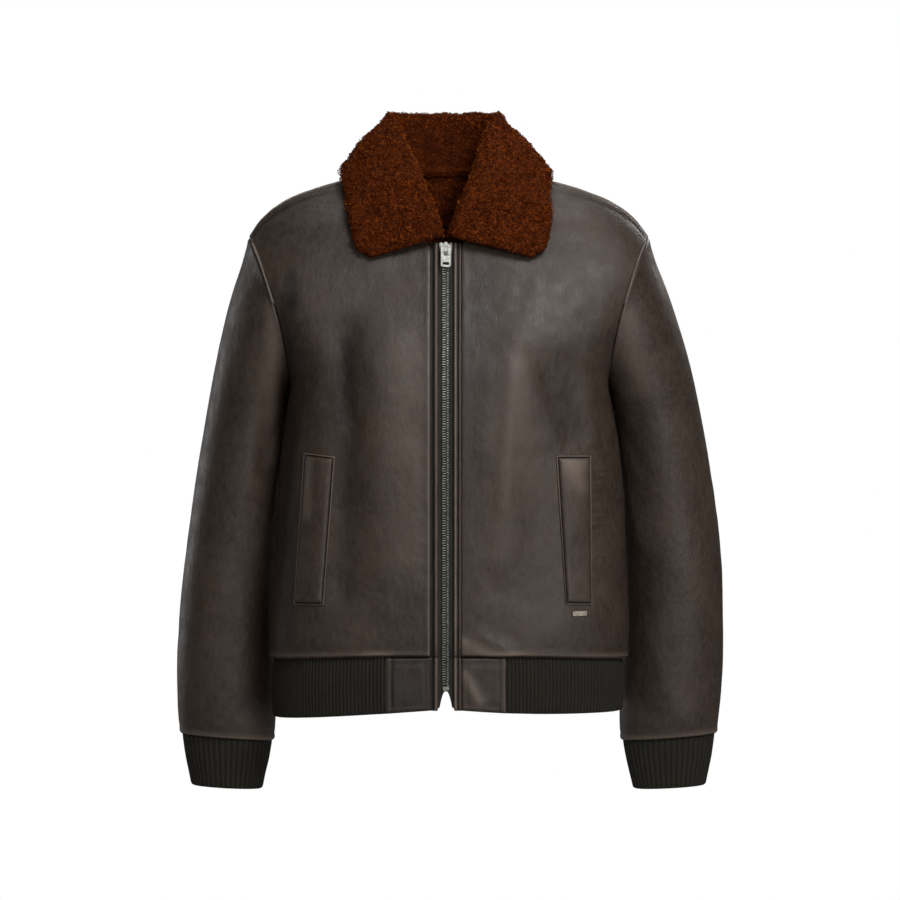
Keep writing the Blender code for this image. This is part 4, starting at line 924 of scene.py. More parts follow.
def panel_patch(first, last, side, rows, columns):
    """Half of the body between two rows, with its seams, puffed edges and folds."""
    ends = np.linspace(first, last, 600)
    at = first + (last - first) * shares_along(body(ends, np.full(600, 0.5), side), rows)
    if first == 0:
        middles = (at[1:] + at[:-1]) / 2
        puckered = (middles > PUCKERED_ROWS[0]) & (middles < PUCKERED_ROWS[1])
        at = np.sort(np.concatenate([at, middles[puckered]]))
    across = np.stack([shares_along(body(row, np.linspace(0, 1, 160), side), columns) for row in at])
    at = np.repeat(at[:, None], across.shape[1], axis=1)
    points = body(at, across, side)
    turn = UNDERARM_ROW if first == 0 else BACK_UNDERARM_ROW
    ease = bump_at(at, turn, 1.1) * smooth((1 - across) / 0.16) * smooth(across / 0.2)
    eased = sum(body(at + shift, across, side) for shift in EASE_SHIFTS) / len(EASE_SHIFTS)
    points = points + (eased - points) * ease[..., None]
    down, over = lengths_along(points, 0), lengths_along(points, 1)
    to_first, to_last = down, down[-1] - down
    to_inner, to_outer = over, over[:, -1:] - over
    if first == 0:
        hem, shoulder = to_first, to_last
    else:
        shoulder, hem = to_first, to_last
        nape = np.interp(NAPE_ROW, at[:, 0], np.arange(len(at)))
        below = down - down[int(nape)]
        to_inner = np.where(at < NAPE_ROW, to_inner, np.hypot(to_inner, np.maximum(below, 0)))
    seam = np.minimum(np.minimum(hem, shoulder), np.minimum(to_inner, to_outer))
    patch = Patch(points, seam, flip=side < 0)
    arm = (at > UNDERARM_ROW) & (at < BACK_UNDERARM_ROW)
    to_middle = unit(ARMHOLE_MIDDLE * (side, 1, 1) - points)
    outer_way = np.where(arm[..., None], to_middle, (-side, 0, 0))
    zip_way = np.where((at < NECK_PIT_ROW)[..., None], (0, 1, 0), -body_normal(at, across, side))
    level_in = -body_normal(at, across, side) * (1, 1, 0)
    down_in = unit(np.broadcast_to((-0.45 * side, 0, -0.9), points.shape))
    ways = ((hem, unit(level_in)), (shoulder, down_in), (to_inner, zip_way), (to_outer, outer_way))
    pull = sum(np.maximum(1 - d / SEAM_HOLD, 0)[..., None] * way for d, way in ways)
    patch.inward = unit(pull)
    patch.hold = np.max([1 - d / SEAM_HOLD for d, _ in ways], axis=0)
    patch.furry = ((to_inner < 0.0001) & (at > NECK_PIT_ROW - 0.1)).astype(float)
    calm = smooth(seam / 0.02)
    x, z = points[..., 0], points[..., 2]
    creases = FRONT_CREASES if first == 0 else BACK_CREASES
    patch.lift = folds_at(creases, x, z) * calm
    patch.lift += (0.0007 * ripple(points, 0.045) + 0.00035 * ripple(points, 0.018, 9.0)) * calm
    patch.lift += 0.0026 * bump_at(hem, *HEM_PUFF) + 0.0006 * bump_at(seam, *SEAM_PUFF)
    patch.lift += 0.0005 * ripple(points, 0.013, 3.0) * bump_at(seam, *SEAM_WAVES)
    # painted highlight on the puffed hem, strongest above the tabs, and painted shade below it
    patch.painted_highlight = bump_at(hem, *HEM_HIGHLIGHT) * (0.35 + 0.65 * bump_at(np.abs(x), *ABOVE_TAB))
    patch.painted_shade = 0.35 * bump_at(hem, *HEM_SHADE)
    if first == 0:
        # painted highlights and painted shade where light and shadow fall on the front's folds
        patch.painted_highlight += folds_at(FRONT_HIGHLIGHTS, x, z)
        patch.painted_shade += folds_at(FRONT_SHADE, x, z)
        # painted highlight along the seam beside the zip band
        edge_highlight = BAND_EDGE_HIGHLIGHT[side] * bump_at(to_inner, *ZIP_SEAM_HIGHLIGHT)
        patch.painted_highlight += edge_highlight * (z < NECK_FRONT_HEIGHT)
        # the lapped shoulder seam: a shallow groove with painted shade in it
        lapped = bump_at(z.max(axis=0) - z, 0.0066 - 0.0030 * across, 0.0014) * (at > YOKE_ROW)
        patch.lift -= 0.0009 * lapped
        patch.painted_shade += 0.95 * lapped
        for strip in PUCKERS:
            patch.lift += puckers(points, *strip)
    else:
        # painted highlight along the back's shoulder seam
        patch.painted_highlight += 0.5 * bump_at(shoulder, *SHOULDER_HIGHLIGHT)
    patch.drop = seam_drop(seam)
    return patch


def lining_lumps(points):
    """Uneven short pile on the inside."""
    return 0.0008 * ripple(points, 0.006) + 0.0005 * ripple(points, 0.0035, 4.0)


# %% Sew the panels
SIDES = ((1, "left"), (-1, "right"))
for side, word in SIDES:
    patch = panel_patch(0, SHOULDER_ROW, side, 124, 64)
    panel = wall("leather_front_" + word, [patch], SHEEPSKIN, [leather, lining_pile], lining_lumps)
    sew_in(panel, ["front_" + word])
halves = [panel_patch(SHOULDER_ROW, BACK_HEM_ROW, side, 116, 56) for side, _ in SIDES]
panel = wall("leather_back", halves, SHEEPSKIN, [leather, lining_pile], lining_lumps)
sew_in(panel, ["back"])

# %% [markdown]
# ## Sleeves
# A sleeve is one tube from the armhole to the cuff. It hangs nearly straight, so it has only
# long quiet folds: a full ridge down the front, a hollow on the side of the body, and slack
# above the cuff. Each ring is an ellipse from a table, and the first ring is the armhole seam.
# A bent cylinder with a modifier would be quicker, but it wouldn't meet the armhole exactly.

# %% Tables of the sleeves
# outer x, outer z, inner x, inner z, middle y, depth in front and behind
SLEEVE_RINGS = np.array((
    (0.2495, -0.0650, 0.1975, -0.2450, 0.002, 0.083, 0.090),
    (0.2590, -0.0960, 0.1985, -0.2510, 0.006, 0.083, 0.088),
    (0.2720, -0.1310, 0.1998, -0.2580, 0.011, 0.082, 0.085),
    (0.2850, -0.1720, 0.2015, -0.2690, 0.017, 0.080, 0.082),
    (0.2965, -0.2160, 0.2040, -0.2850, 0.023, 0.078, 0.079),
    (0.3070, -0.2640, 0.2065, -0.3080, 0.029, 0.076, 0.077),
    (0.3180, -0.3220, 0.2110, -0.3450, 0.035, 0.074, 0.075),
    (0.3295, -0.3920, 0.2150, -0.4010, 0.042, 0.072, 0.072),
    (0.3380, -0.4620, 0.2180, -0.4620, 0.046, 0.069, 0.069),
    (0.3430, -0.5280, 0.2200, -0.5260, 0.049, 0.065, 0.065),
    (0.3450, -0.5900, 0.2195, -0.5900, 0.051, 0.060, 0.060),
    (0.3440, -0.6430, 0.2175, -0.6480, 0.052, 0.053, 0.053),
    (0.3415, -0.6720, 0.2180, -0.6800, 0.052, 0.048, 0.048),
    (0.3385, -0.6880, 0.2205, -0.6970, 0.052, 0.040, 0.040),
))
LAST_RING = len(SLEEVE_RINGS) - 1
# painted highlights and painted shade on the front of the sleeves: ends (x, z), half width, strength
SLEEVE_HIGHLIGHTS = (
    (-0.214, -0.150, -0.216, -0.340, 0.010, 0.22),
    (0.222, -0.170, 0.234, -0.255, 0.016, 0.22),
)
SLEEVE_SHADE = (
    (-0.250, -0.460, -0.242, -0.660, 0.022, 0.50),
    (0.252, -0.460, 0.252, -0.660, 0.024, 0.60),
    (-0.262, -0.250, -0.264, -0.400, 0.020, 0.20),
)
# ring, degrees, ring, degrees, half width in metres, height
SLEEVE_FOLDS = (
    (1.5, 70, 7.0, 80, 0.016, 0.0022),
    (2.0, 110, 9.0, 120, 0.020, -0.0016),
    (4.5, 25, 6.5, 60, 0.010, -0.0018),
    (5.5, 15, 8.0, 50, 0.010, 0.0016),
    (9.5, 60, 12.0, 110, 0.012, 0.0014),
    (10.5, 40, 12.0, 90, 0.008, -0.0012),
    (2.0, 250, 8.0, 240, 0.018, 0.0020),
    (6.0, 290, 8.5, 330, 0.012, -0.0020),
    (5.0, 300, 7.5, 345, 0.010, 0.0016),
    (10.0, 220, 12.0, 290, 0.010, 0.0014),
)
print("sleeve rings", len(SLEEVE_RINGS), "folds", len(SLEEVE_FOLDS))


# %% Surface of the sleeves
def ring_point(ring, degrees):
    """Point of rings given as arrays of table rows."""
    angle = np.radians(degrees)[..., None]
    y = ring[..., 4:5]
    outer = np.concatenate([ring[..., 0:1], y, ring[..., 1:2]], axis=-1)
    inner = np.concatenate([ring[..., 2:3], y, ring[..., 3:4]], axis=-1)
    depth = np.where(np.sin(angle) > 0, ring[..., 5:6], ring[..., 6:7])
    forward = np.concatenate([np.zeros_like(y), depth * np.sin(angle), np.zeros_like(y)], axis=-1)
    return (outer + inner) / 2 - (outer - inner) / 2 * np.cos(angle) - forward


def sleeve(at, degrees, side):
    """Outer surface of the sleeve, from 0 at the armhole to the last ring at the cuff."""
    at, degrees = np.broadcast_arrays(np.asarray(at, float), np.asarray(degrees, float))
    point = ring_point(curve_through(SLEEVE_RINGS, at), degrees)
    keep = ((1 - smooth(at / 4)) ** 2)[..., None]
    first = np.broadcast_to(SLEEVE_RINGS[0], (*at.shape, SLEEVE_RINGS.shape[1]))
    point = point + (armhole_point(degrees) - ring_point(first, degrees)) * keep
    return to_side(point, side)


OUTER_LINE = sleeve(np.linspace(0, LAST_RING, 200), np.full(200, 180.0), 1)
print("sleeve", round(lengths_along(OUTER_LINE)[-1], 3), "m long on its outer side")


# %% Folds along a tube
def fold_lines(points, surface, folds, side):
    """Height of folds that run between two places of a tube."""
    total = np.zeros(points.shape[:2])
    for at0, turn0, at1, turn1, width, height in folds:
        share = np.linspace(0, 1, 24)
        line = surface(at0 + (at1 - at0) * share, turn0 + (turn1 - turn0) * share, side)
        fade = np.sin(math.pi * share) ** 0.5
        gaps = np.linalg.norm(points[:, :, None] - line, axis=-1) / width
        total += height * (np.exp(-gaps ** 2) * fade).max(axis=2)
    return total


# %% Grid of a sleeve
# puffs, waves, a groove, a painted highlight and painted shade round the cuff: crest and
# half width, in metres above the cuff
CUFF_PUFF, CUFF_WAVES, CUFF_GROOVE = (0.0042, 0.0030), (0.010, 0.010), (0.0088, 0.0011)
CUFF_HIGHLIGHT, CUFF_SHADE = (0.0042, 0.0024), (0.0088, 0.0010)


def sleeve_patch(side, rows, columns):
    """The whole tube of a sleeve, open along a line under the arm."""
    turns = np.linspace(0, 360, columns + 1)
    lines = [sleeve(np.linspace(0, LAST_RING, 300), np.full(300, turn), side) for turn in turns]
    at = np.stack([LAST_RING * shares_along(line, rows) for line in lines], axis=1)
    points = sleeve(at, np.broadcast_to(turns, at.shape), side)
    down = lengths_along(points, 0)
    top, bottom = down, down[-1] - down
    seam = np.minimum(top, bottom)
    patch = Patch(points, seam, flip=side > 0)
    to_middle = unit(ARMHOLE_MIDDLE * (side, 1, 1) - points)
    centre = points[-1].mean(axis=0)
    patch.inward = np.where((top < bottom)[..., None], to_middle, unit(centre - points))
    patch.hold = 1 - seam / SEAM_HOLD
    calm = smooth(seam / 0.025)
    patch.lift = fold_lines(points, sleeve, SLEEVE_FOLDS, side) * calm
    patch.lift += (0.0009 * ripple(points, 0.06) + 0.0003 * ripple(points, 0.02, 9.0)) * calm
    patch.lift += 0.0014 * bump_at(bottom, *CUFF_PUFF) + 0.0006 * bump_at(top, *SEAM_PUFF)
    patch.lift += 0.0004 * ripple(points, 0.012, 3.0) * bump_at(bottom, *CUFF_WAVES)
    patch.lift -= 0.0012 * bump_at(bottom, *CUFF_GROOVE)
    # painted highlight on the puffed cuff edge and the sleeve's front, painted shade in the groove above
    # the cuff and on the front
    patch.painted_highlight = 0.45 * bump_at(bottom, *CUFF_HIGHLIGHT)
    in_front = smooth((0.030 - points[..., 1]) / 0.030)
    patch.painted_highlight += folds_at(SLEEVE_HIGHLIGHTS, points[..., 0], points[..., 2]) * in_front
    patch.painted_shade = 0.9 * bump_at(bottom, *CUFF_SHADE)
    patch.painted_shade += folds_at(SLEEVE_SHADE, points[..., 0], points[..., 2]) * in_front
    patch.drop = seam_drop(seam)
    return patch


# %% Sew the sleeves
for side, word in SIDES:
    patch = sleeve_patch(side, 112, 100)
    tube = wall("leather_sleeve_" + word, [patch], SHEEPSKIN, [leather, lining_pile], lining_lumps)
    sew_in(tube, ["sleeve_" + word])

# %% [markdown]
# ## Rib knit of the cuffs and the hem
# Rib knit is a row of soft upright tubes with furrows between them. A flat band with a striped
# picture would look dead from the side, so each rib is rounded in the mesh, six points wide, and
# only the small loops on it are left to the material. The knit is folded at its lower edge, so
# that edge is round and full.

# %% Ribs of the cuffs
KNIT = 0.0042
KNIT_WALL = KNIT - 0.0012
CUFF_LENGTH = 0.064
RIB_DEPTH = 0.0011
RIB_POINTS = 6
CUFF_RIBS = 46
CUFF_TOP = np.array((0.3370, -0.6880, 0.2220, -0.6970, 0.052, 0.038, 0.038))
CUFF_BOTTOM = np.array((0.3255, -0.7530, 0.2345, -0.7580, 0.050, 0.030, 0.030))


def rib_sink(phase):
    """Depth below the crest for a place counted in ribs."""
    return RIB_DEPTH * (1 - np.abs(np.cos(math.pi * phase)) ** 0.8)


def round_off(down, length, radius=0.004):
    """How far the folded lower edge draws in."""
    left = np.clip((1 - down) * length / radius, 0, 1)
    return radius * (1 - np.sqrt(1 - (1 - left) ** 2)) * 0.8


def cuff_patch(side):
    """The ribbed tube of a cuff."""
    down = np.concatenate([np.linspace(0.01, 0.9, 14), (0.925, 0.95, 0.97, 0.985, 0.995, 1.0)])
    turns = np.linspace(0, 360, CUFF_RIBS * RIB_POINTS + 1)
    down, turns = np.meshgrid(down, turns, indexing="ij")
    ring = CUFF_TOP + (CUFF_BOTTOM - CUFF_TOP) * down[..., None]
    points = to_side(ring_point(ring, turns), side)
    middle = (ring_point(ring, turns * 0) + ring_point(ring, turns * 0 + 180)) / 2
    inward = unit(to_side(middle, side) - points)
    wave = 0.0008 * ripple(points, 0.02) * np.sin(math.pi * down)
    bulge = 0.0015 * np.sin(math.pi * down) * (1 - down)
    ribs = rib_sink(turns / 360 * CUFF_RIBS)
    sink = ribs + round_off(down, CUFF_LENGTH) - bulge - wave
    points = points + inward * sink[..., None]
    patch = Patch(points, inward=inward, hold=np.ones_like(down), flip=side > 0)
    # painted shade down in the furrows between the ribs
    patch.painted_shade = smooth(ribs / RIB_DEPTH)
    return patch


for side, word in SIDES:
    patch = cuff_patch(side)
    cuff = wall("knit_cuff_" + word, [patch], KNIT_WALL, [knit])
    sew_in(cuff, ["cuff_" + word])

# %% Hem band
SEAM_GAP = 0.0003
SEAM_TUCK = 0.0010
TAB_EDGE = 0.0720
RIB_PITCH = 0.0047
HEM_LENGTH = 0.070
HEM_BOTTOM_FRONT = -0.6460
HEM_SAG, LEFT_RISE, BACK_RISE = 0.0150, 0.0080, 0.0210
SIDE_X, SIDE_Y = SIDE_SEAM[0][:2]


def hem_line(inset):
    """Half of the hem seam from the zip round to the middle of the back."""
    rows = np.concatenate([np.zeros(61), np.full(60, float(BACK_HEM_ROW))])
    across = np.concatenate([np.arange(61) / 60, 1 - np.arange(1, 61) / 60])
    out = body_normal(rows, across, 1) * (1, 1, 0)
    return half_body(rows, across) - unit(out) * inset


KNIT_INSET = 0.0008
HEM_LINE = hem_line(KNIT_INSET)
HEM_REACH = lengths_along(HEM_LINE)
TAB_REACH = HEM_REACH[np.argmax(HEM_LINE[:, 0] >= TAB_EDGE)]
print("half of the hem seam", round(HEM_REACH[-1], 3), "m, tab", round(TAB_REACH, 3), "m")


def hem_place(distance):
    """Point and level inward direction at distances along the hem seam."""
    point = np.stack([np.interp(distance, HEM_REACH, HEM_LINE[:, k]) for k in range(3)], axis=-1)
    step = 0.004
    run = [np.interp(distance + step, HEM_REACH, HEM_LINE[:, k])
           - np.interp(distance - step, HEM_REACH, HEM_LINE[:, k]) for k in (0, 1)]
    run = unit(np.stack([*run, run[0] * 0], axis=-1))
    return point, np.stack([-run[..., 1], run[..., 0], run[..., 2] * 0], axis=-1)


def hem_foot(point, side):
    """Height of the band's lower edge under each point of the seam; the back hangs higher."""
    to_side_seam = (point[..., 0] - ZIP_EDGE) / (SIDE_X - ZIP_EDGE)
    share = np.where(point[..., 1] > SIDE_Y, 1.0, to_side_seam)
    rise = LEFT_RISE * share * smooth(point[..., 0] / SIDE_X) if side > 0 else 0.0
    rise = rise + BACK_RISE * smooth((point[..., 1] - SIDE_Y) / (BODY_ROWS[-1, 2] - SIDE_Y))
    return HEM_BOTTOM_FRONT - HEM_SAG * share + rise


# %% Ribs of the hem band
def hem_patch(side):
    """Half of the ribbed band, from the tab to the middle of the back."""
    start = TAB_REACH - SEAM_TUCK
    ribs = round((HEM_REACH[-1] - start) / RIB_PITCH)
    phase = np.linspace(0, ribs, ribs * RIB_POINTS + 1)
    down = np.concatenate([np.linspace(0, 0.9, 13), 1 - np.array((0.07, 0.045, 0.025, 0.01, 0.0))])
    down, phase = np.meshgrid(down, phase, indexing="ij")
    point, inward = hem_place(start + (HEM_REACH[-1] - start) * phase / ribs)
    foot = hem_foot(point, side)
    point[..., 2] += (foot - point[..., 2]) * down - SEAM_GAP * (1 - down)
    centre = smooth((phase - ribs + 2) / 2)[..., None]
    inward = unit(inward * (1 - centre) + np.array((0, -1, 0)) * centre)
    wave = 0.0010 * ripple(point, 0.03) * np.sin(math.pi * down)
    bulge = 0.0022 * np.sin(math.pi * down) * (1 - 0.5 * down)
    tuck = 0.0012 * (1 - smooth(down / 0.08)) + 0.0014 * (1 - smooth(phase / 0.4))
    sink = rib_sink(phase) + round_off(down, HEM_LENGTH) + tuck - bulge - wave
    points = to_side(point + inward * sink[..., None], side)
    patch = Patch(points, inward=inward * (side, 1, 1), hold=np.ones_like(down), flip=side > 0)
    # painted shade down in the furrows between the ribs
    patch.painted_shade = smooth(rib_sink(phase) / RIB_DEPTH)
    return patch


halves = [hem_patch(side) for side, _ in SIDES]
band = wall("knit_hem_band", halves, KNIT_WALL, [knit])
sew_in(band, ["hem_rib"])

# %% [markdown]
# ## Leather tabs and bands
# The knit stops short of the zip. A leather tab fills each corner, stitched all round and
# slightly puffed, and a narrow leather band runs up each side of the zip and covers the edge of
# its tape. A curve with a bevel profile could draw the band, but its ends would be cut square.
# Both are grids whose height across the strip comes from a short list.

# %% Tabs at the hem
# a raised fold on the wearer's left tab, with a painted highlight along it
TAB_FOLD = ((0.024, -0.604, 0.040, -0.636, 0.0065, 1.0),)
TAB_LENGTH = 0.065
# crest and half width of what runs along a tab's border, and beside its strip along the knit:
# a puff, a dip, a line with painted shade and lines of painted highlight
TAB_BORDER_PUFF, TAB_BORDER_DIP = (0.0035, 0.0018), (0.0058, 0.0010)
TAB_LINE, TAB_LINE_SHADE = (0.0078, 0.0009), (0.0078, 0.0008)
TAB_HIGHLIGHTS = ((0.0055, 0.0011), (0.0020, 0.0010))
# painted shade over the whole tab, heavier on the wearer's right tab than on the left
TAB_PAINTED_SHADE = {-1: 0.78, 1: 0.45}


def tab_patch(side):
    """The puffed tab between the zip band and the knit."""
    distance = shares_along(np.linspace((0, 0, 0), (TAB_REACH, 0, 0), 80), 22)
    distance = np.interp(distance, (0, 1), (0.0, TAB_REACH + SEAM_GAP * 0.6))
    down = shares_along(np.linspace((0, 0, 0), (0, 0, TAB_LENGTH), 80), 14)
    down, distance = np.meshgrid(down, distance, indexing="ij")
    point, inward = hem_place(distance)
    top = point[..., 2] - SEAM_GAP
    foot = hem_foot(point, side)
    point[..., 2] = top + (foot - top) * down
    level, upright = np.minimum(distance, TAB_REACH - distance), np.minimum(down, 1 - down)
    border = np.minimum(level, upright * TAB_LENGTH)
    patch = Patch(to_side(point, side), border, inward * (side, 1, 1), np.ones_like(down), flip=side > 0)
    patch.lift = 0.0013 * smooth(border / 0.012) + 0.0006 * bump_at(border, *TAB_BORDER_PUFF)
    patch.lift -= 0.0005 * bump_at(border, *TAB_BORDER_DIP)
    patch.lift += 0.0008 * ripple(point * (side, 1, 1), 0.016) * smooth(border / 0.015)
    strip = TAB_REACH - distance
    patch.lift -= 0.0011 * bump_at(strip, *TAB_LINE)
    # painted shade along the stitched line and over the tab, painted highlights on the strip by the knit
    patch.painted_shade = 0.9 * bump_at(strip, *TAB_LINE_SHADE) + TAB_PAINTED_SHADE[side]
    patch.painted_highlight = sum(0.35 * bump_at(strip, *edge_highlight) for edge_highlight in TAB_HIGHLIGHTS)
    if side > 0:
        # the raised fold with its painted highlight
        fold = folds_at(TAB_FOLD, patch.points[..., 0], patch.points[..., 2])
        patch.lift += 0.0016 * fold
        patch.painted_highlight += 0.7 * fold
    patch.drop = seam_drop(border)
    return patch


for side, word in SIDES:
    patch = tab_patch(side)
    tab = wall("leather_tab_" + word, [patch], SHEEPSKIN, [leather])
    sew_in(tab, ["hem_tab_" + word])

# %% Bands and tape beside the zip
TAPE_EDGE = 0.0090
FRONT_EDGE = body(np.linspace(0, NECK_PIT_ROW, 400), 0.0, 1)
ZIP_TOP = BODY_ROWS[11, 3] + 0.004
print("zip from", HEM_BOTTOM_FRONT, "up to", round(ZIP_TOP, 4))


def zip_face(height):
    """y of the front edge at a height."""
    return np.interp(height, FRONT_EDGE[:, 2], FRONT_EDGE[:, 1])


def cut_back(above, deepest, over, power):
    """How far a strip is cut back at a height above its lower end."""
    return deepest * np.clip(1 - above / over, 0, 1) ** power


def strip_patch(side, edges, low, cut, forms, sunk, rows):
    """Upright strip beside the zip; forms are share across, height in mm and painted shade."""
    corner = low + cut[1] * (1 - (1 - np.linspace(0, 1, 14)[:-1]) ** 2)
    height = np.concatenate([corner, np.linspace(low + cut[1], ZIP_TOP, rows)])
    height, share = np.meshgrid(height, forms[:, 0], indexing="ij")
    inner = edges[0] + cut_back(height - low, *cut)
    x = inner + (edges[1] - inner) * share
    y = zip_face(height) + sunk - np.interp(share, forms[:, 0], forms[:, 1]) / 1000
    points = np.stack([x * side, y, height], axis=-1)
    inward = np.broadcast_to((0.0, 1.0, 0.0), points.shape)
    patch = Patch(points, None, inward, np.ones_like(height), flip=side < 0)
    patch.painted_shade = np.interp(share, forms[:, 0], forms[:, 2])
    return patch


# %% Sew the bands and the tape
# The two bands are pressed differently: on the wearer's right a wide groove with painted shade
# lies outside the ridge, on the left a thin one. Share across, height in mm and painted shade.
BAND_FORMS = {
    -1: ((0.00, -0.5, 0.2), (0.05, 0.6, 0.0), (0.12, 1.2, 0.0), (0.21, 1.7, 0.0), (0.30, 2.2, 0.0),
         (0.38, 2.2, 0.0), (0.46, 1.6, 0.1), (0.54, 0.6, 0.6), (0.63, -0.6, 0.9), (0.74, -1.4, 1.0),
         (0.88, -1.7, 1.0), (1.00, -1.7, 1.0)),
    1: ((0.00, -0.5, 0.2), (0.04, 0.7, 0.1), (0.10, 1.5, 0.0), (0.18, 2.1, 0.0), (0.28, 2.3, 0.0),
        (0.38, 2.0, 0.0), (0.46, 1.1, 0.2), (0.53, -0.3, 0.9), (0.58, -0.6, 1.0), (0.64, 0.1, 0.6),
        (0.72, 0.9, 0.0), (0.84, 1.1, 0.0), (0.94, 0.7, 0.0), (1.00, 0.2, 0.2)),
}
# painted highlight along each band's ridge: share across, width and strength
BAND_HIGHLIGHT = {-1: (0.30, 0.13, 0.30), 1: (0.27, 0.15, 0.62)}
BAND_CUT, TAPE_CUT = (0.0015, 0.0060, 2.0), (0.0074, 0.0205, 0.5)
BAND_WALL, TAPE_WALL, TAPE_SUNK = SHEEPSKIN - 0.001, 0.0016, 0.0026
TAPE_FOOT = HEM_BOTTOM_FRONT + 0.0035
TAPE_FORMS = np.array([(share, 0.0, 0.0) for share in np.linspace(0, 1, 9)])
for side, word in SIDES:
    forms = np.array(BAND_FORMS[side])
    edges = (TAPE_EDGE, ZIP_EDGE + SEAM_GAP)
    patch = strip_patch(side, edges, HEM_BOTTOM_FRONT, BAND_CUT, forms, 0.0, 250)
    patch.lift = 0.00025 * ripple(patch.points, 0.012) + 0.0002 * ripple(patch.points, 0.005, 3.0)
    # painted highlight along the band's ridge
    middle, width, strength = BAND_HIGHLIGHT[side]
    highlight_across = strength * bump_at(forms[:, 0], middle, width)
    patch.painted_highlight = np.broadcast_to(highlight_across, patch.painted_shade.shape)
    # a dip with painted shade where the hem seam crosses the band
    crossing = bump_at(patch.points[..., 2], HEM_LINE[0, 2], 0.0009)
    patch.lift -= 0.0010 * crossing
    patch.painted_shade = np.maximum(patch.painted_shade, 0.9 * crossing)
    band = wall("leather_zip_band_" + word, [patch], BAND_WALL, [leather])
    sew_in(band, ["zip_band_" + word])
    edges = (SEAM_GAP / 2, TAPE_EDGE + SEAM_TUCK)
    patch = strip_patch(side, edges, TAPE_FOOT, TAPE_CUT, TAPE_FORMS, TAPE_SUNK, 110)
    woven = wall("woven_tape_" + word, [patch], TAPE_WALL, [tape])
    sew_in(woven, ["zip_tape_" + word])

# %% [markdown]
# ## Zip teeth
# Each tooth is a small clamp on the tape's edge with a rounded nose that reaches between the
# teeth of the other side. One tooth is made as a bevelled block and repeated up both edges, one
# row half a step higher than the other. An Array modifier could repeat it, but only along a
# straight line, and the front is curved. On one side the broad backs of the clamps show in the
# darker plating, on the other their small heads, which get the bright nickel as a painted highlight.

# %% Teeth
TOOTH_PITCH = 0.0030
TOOTH_TOP = -0.0885
TOOTH_FOOT = -0.6150


def tooth_shape(width, height, depth, edge):
    """Bevelled block round the origin; returns its points and faces."""
    shape = bmesh.new()
    bmesh.ops.create_cube(shape, size=1.0)
    for corner in shape.verts:
        narrow = 0.72 if corner.co.x < 0 else 1.0
        corner.co = Vector((corner.co.x * width, corner.co.y * depth, corner.co.z * height * narrow))
    bmesh.ops.bevel(shape, geom=shape.edges[:], offset=edge, segments=1, affect="EDGES")
    points = np.array([corner.co[:] for corner in shape.verts])
    faces = [[corner.index for corner in face.verts] for face in shape.faces]
    shape.free()
    return points, faces


def repeated(points, faces, places):
    """Many copies of a small shape as one list of points and faces."""
    every = (points[None] + places[:, None]).reshape(-1, 3)
    many = [[i + k * len(points) for i in face] for k in range(len(places)) for face in faces]
    return every, many


# width, height, depth, bevel, distance from the middle, depth behind the leather, finish; the
# small heads get the bright nickel as a painted highlight
TOOTH_ROWS = {
    -1: (0.0050, 0.00165, 0.0024, 0.00035, 0.0019, 0.0012, teeth_metal),
    1: (0.0028, 0.00170, 0.0032, 0.00055, 0.0022, 0.0008, nickel),
}
for side, word in SIDES:
    *shape, aside, sunk, metal = TOOTH_ROWS[side]
    points, faces = tooth_shape(*shape)
    points = points * (side, 1, 1)
    faces = faces if side > 0 else [face[::-1] for face in faces]
    heights = np.arange(TOOTH_FOOT, TOOTH_TOP, TOOTH_PITCH) + (0.0 if side > 0 else TOOTH_PITCH / 2)
    places = np.stack([heights * 0 + side * aside, zip_face(heights) + sunk, heights], axis=-1)
    mesh_points, mesh_faces = repeated(points, faces, places)
    teeth = many_small("zip_teeth_" + word, mesh_points, mesh_faces, metal, rounded=False)
    print(teeth.name, len(places), "teeth")

# %% [markdown]
# ## Shearling collar
# The collar is one strip of skin, sewn into the neckline, that stands up, rolls over and falls
# on the shoulders. Its surface is a row of sections round the neck, each a curve up the stand,
# round the roll and down the fall. The skin under the pile is lumpy. On it sit thousands of
# small curls, because a smooth roll with a bumpy finish has too clean an outline.

# %% Table of the collar
PILE_COLLAR = 0.0110
# seam, top of the fold, row and share where the fall ends, radius of the roll, spread
COLLAR_SECTIONS = np.array((
    (0.0000, 0.0560, 0.0240, 0.0000, 0.0700, 0.0990, 16.78, 0.000, 0.0135, 0.012),
    (0.0300, 0.0510, 0.0235, 0.0330, 0.0650, 0.0985, 16.69, 0.122, 0.0140, 0.013),
    (0.0560, 0.0340, 0.0215, 0.0610, 0.0470, 0.0975, 16.46, 0.246, 0.0160, 0.018),
    (0.0690, 0.0120, 0.0200, 0.0690, 0.0220, 0.0945, 15.82, 0.325, 0.0165, 0.020),
    (0.0725, -0.0120, 0.0160, 0.0550, -0.0100, 0.0760, 13.70, 0.210, 0.0160, 0.020),
    (0.0640, -0.0380, -0.0080, 0.0405, -0.0430, 0.0400, 12.60, 0.262, 0.0140, 0.017),
    (0.0470, -0.0590, -0.0360, 0.0260, -0.0730, -0.0010, 11.90, 0.350, 0.0130, 0.014),
    (0.0270, -0.0750, -0.0590, 0.0090, -0.0930, -0.0400, 10.99, 0.408, 0.0125, 0.008),
    (0.0160, -0.0830, -0.0710, 0.0014, -0.0995, -0.0680, 10.54, 0.322, 0.0115, 0.004),
))
# shares of a section where the stand ends and where the roll ends
STAND_END, ROLL_END = 0.30, 0.60
# the edge of the fall stays this far off the shoulder
EDGE_CLEARANCE = 0.0030
# below this height the collar leans to the wearer's left, by a share of the depth, within limits
LEAN_TOP, LEAN_SHARE, LEAN_LIMITS = 0.015, 0.080, (-0.003, 0.006)
print("collar sections", len(COLLAR_SECTIONS))


